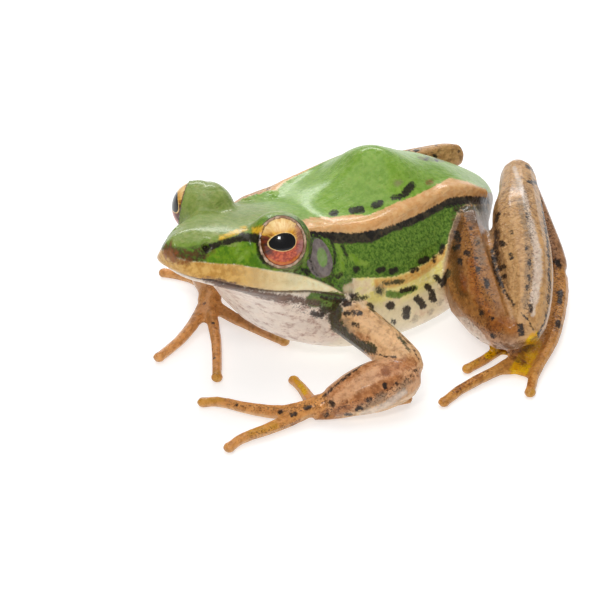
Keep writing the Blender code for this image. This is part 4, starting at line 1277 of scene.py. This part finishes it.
skinMesh, solidTree, solidOwner, foldAcross = makeSkinForm()
paintSkin(skinMesh, solidTree, solidOwner, foldAcross)
fleshNodes = [n for n in frame["nodes"] if not n.startswith("eye_")]
skin = addPiece("skin", skinMesh, "skin_back", *fleshNodes)
skin.data.materials.append(skinMaterial())


# The eyes: a globe each, its pole the way it looks, so that the pupil's edge is fine
eyeShine = {"Roughness": 0.3, "Specular IOR Level": 0.1, "Coat Weight": 0.8, "Coat Roughness": 0.03}
eyeLayers = (
    ("gold", tone(230, 176, 62), tone(200, 130, 30), 0.35, 0.5, 1.0),
    ("crest", tone(244, 216, 156), tone(228, 182, 112), 0.4, 0.4, 0.85),
    ("rear", tone(168, 112, 108), tone(120, 72, 74), 0.35, 0.4, 0.75),
    ("arc", tone(226, 158, 56), tone(196, 112, 36), 0.12, 0.3, 0.6),
    ("corner", tone(58, 20, 10), tone(112, 44, 20), 0.35, 0.4, 1.0),
    # edge: painted shade of the lids on the eyeball
    ("edge", tone(52, 24, 12), tone(90, 42, 20), 0.12, 0.2, 0.85),
    ("halo", tone(244, 212, 146), tone(230, 190, 116), 0.03, 0.02, 1.0),
    ("pupil", tone(3, 3, 5), tone(6, 6, 8), 0.025, 0.02, 1.0),
)


def makeGlobe(side):
    axes = np.stack(eyeAxes(side, "pupil"))
    centre = onBody(*eyes[side]["at"]) * np.array([side, 1, 1])
    segments, rings = eyeball["segments"], eyeball["rings"]
    bm = bmesh.new()
    bmesh.ops.create_uvsphere(bm, u_segments=segments, v_segments=rings, radius=eyeball["radius"])
    bmesh.ops.recalc_face_normals(bm, faces=bm.faces)
    mesh = bpy.data.meshes.new("globe")
    bm.to_mesh(mesh)
    bm.free()
    local = readPoints(mesh)
    placed = centre + local @ axes
    paintGlobe(mesh, local, pastOpening(placed, side)[0])
    writePoints(mesh, placed)
    if np.linalg.det(axes) < 0:
        mesh.flip_normals()
    return mesh


def paintGlobe(mesh, local, past):
    a, b = local[:, 0], local[:, 1]   # towards the snout, and upwards
    long, high = eyeball["pupil"]
    reach = np.where(a > 0, long * eyeball["pupilEnds"][0], long * eyeball["pupilEnds"][1])
    blunt = np.where(a > 0, *eyeball["pupilBlunt"])
    size = (np.abs(a / reach) ** blunt + np.abs(b / high) ** 2) ** 0.5
    inside = (1 - size) * 1.1
    fields = {
        "gold": b + 0.15 - 0.25 * np.clip(a, 0, 2),
        "crest": np.minimum(b - 1.35, 2.2 - np.abs(a - 0.2)),
        "corner": np.minimum(a - 1.3, 1.2 - np.abs(b + 0.15)),
        "rear": np.minimum(-a - 1.6, 1.9 - np.abs(b + 0.1)),
        "arc": np.minimum(0.14 - np.abs(np.hypot(a, b) - 2.55), -0.9 - b - 0.4 * np.abs(a)),
        # painted shade of the lids, from 3.2 degrees inside the opening outwards
        "edge": (past + 3.2) * 0.06,
        "halo": inside + 0.065,
        "pupil": inside,
    }
    for name, values in fields.items():
        setFloat(mesh, name, values)
    turn = np.arctan2(b, a)
    swirl = np.stack([np.cos(turn) * 2.2, np.sin(turn) * 2.2, np.hypot(a, b) * 0.35], axis=1)
    layer = mesh.attributes.new("swirl", "FLOAT_VECTOR", "POINT")
    layer.data.foreach_set("vector", swirl.astype(np.float32).ravel())


def eyeMaterial():
    material, tree, shader = newMaterial("frogEye")
    streak = noise(tree, read(tree, "swirl", "Vector"), 3.0, 5.0, 0.65)
    fleck = noise(tree, millimetres(tree), 3.2, 4.0, 0.6)
    waver = calc(tree, "SUBTRACT", streak, 0.5)
    colour = mixed(tree, ramped(tree, fleck, 0.38, 0.62), tone(206, 92, 52), tone(154, 50, 26))
    colour = layered(tree, colour, eyeLayers, waver, {"usual": streak}, (0.38, 0.62))
    tree.links.new(colour, shader.inputs["Base Color"])
    setInputs(shader, eyeShine)
    bump = addNode(tree, "ShaderNodeBump", {"Height": streak, "Strength": 0.25, "Distance": 0.00004})
    tree.links.new(bump.outputs[0], shader.inputs["Normal"])
    return material


irisMaterial = eyeMaterial()
for side, name in ((1, "Left"), (-1, "Right")):
    globe = addPiece("eyeGlobe" + name, makeGlobe(side), "eye", "eye_" + name.lower())
    globe.data.materials.append(irisMaterial)
print("eyes: made")


# Floor, light and camera
studio = {
    "floorHalf": 3000,
    "floorAt": -0.02,
    "floorTone": 0.55,
    "floorGlow": 0.55,
    "world": 0.3,
    "lightsLookAt": (0, 0, 8),
}


def makeFloor():
    half, low = studio["floorHalf"], studio["floorAt"]
    corners = [(-half, -half, low), (half, -half, low), (half, half, low), (-half, half, low)]
    mesh = bpy.data.meshes.new("floor")
    mesh.from_pydata(corners, [], [(0, 1, 2, 3)])
    toPart(mesh)
    floor = bpy.data.objects.new("floor", mesh)
    bpy.context.scene.collection.objects.link(floor)
    material, _, shader = newMaterial("paleFloor")
    setInputs(shader, {
        "Base Color": (studio["floorTone"],) * 3 + (1,),
        "Roughness": 0.7,
        "Emission Color": (1, 1, 1, 1),
        "Emission Strength": studio["floorGlow"],
    })
    mesh.materials.append(material)


lights = {  # where each soft light hangs in millimetres, its size, power and colour
    "overhead": {"at": (-30, 40, 420), "size": (420, 420), "power": 1.05, "tone": (1, 1, 1)},
    "key": {"at": (165, -262, 325), "size": (75, 75), "power": 0.62, "tone": (1, 0.985, 0.96)},
    "behind": {"at": (-330, 360, 240), "size": (420, 80), "power": 1.1, "tone": (1, 1, 1)},
}


def makeLights():
    for name, light in lights.items():
        data = bpy.data.lights.new(name, "AREA")
        data.shape = "RECTANGLE"
        data.size, data.size_y = light["size"][0] * mm, light["size"][1] * mm
        data.energy = light["power"]
        data.color = light["tone"]
        lamp = bpy.data.objects.new(name, data)
        bpy.context.scene.collection.objects.link(lamp)
        at = Vector((np.array(light["at"]) + frogShift) * mm)
        target = Vector((np.array(studio["lightsLookAt"]) + frogShift) * mm)
        lamp.location = at
        lamp.rotation_euler = (target - at).to_track_quat("-Z", "Y").to_euler()
    world = bpy.data.worlds.new("studio")
    world.use_nodes = True
    background = world.node_tree.nodes["Background"]
    setInputs(background, {"Color": (1, 1, 1, 1), "Strength": studio["world"]})
    bpy.context.scene.world = world


def makeCamera():  # its middle looks through the photo's middle pixel
    eyePoint, right, up, back = cameraAxes()
    middle = photo["size"] / 2
    dx, dy = (middle - photo["centre"][0]) / photo["focal"], (photo["centre"][1] - middle) / photo["focal"]
    ahead = unit(right * dx + up * dy - back)
    across = unit(np.cross(ahead, up))
    above = np.cross(across, ahead)
    data = bpy.data.cameras.new("camera")
    data.sensor_width = photo["sensor"]
    data.lens = photo["focal"] / photo["size"] * data.sensor_width
    data.clip_start, data.clip_end = photo["clip"]
    camera = bpy.data.objects.new("camera", data)
    turn = Matrix([across, above, -ahead]).transposed()
    camera.matrix_world = Matrix.Translation((eyePoint + frogShift) * mm) @ turn.to_4x4()
    bpy.context.scene.collection.objects.link(camera)
    bpy.context.scene.camera = camera


makeFloor()
makeLights()
makeCamera()
bpy.context.scene.view_settings.view_transform = "Standard"

print("frog: done")
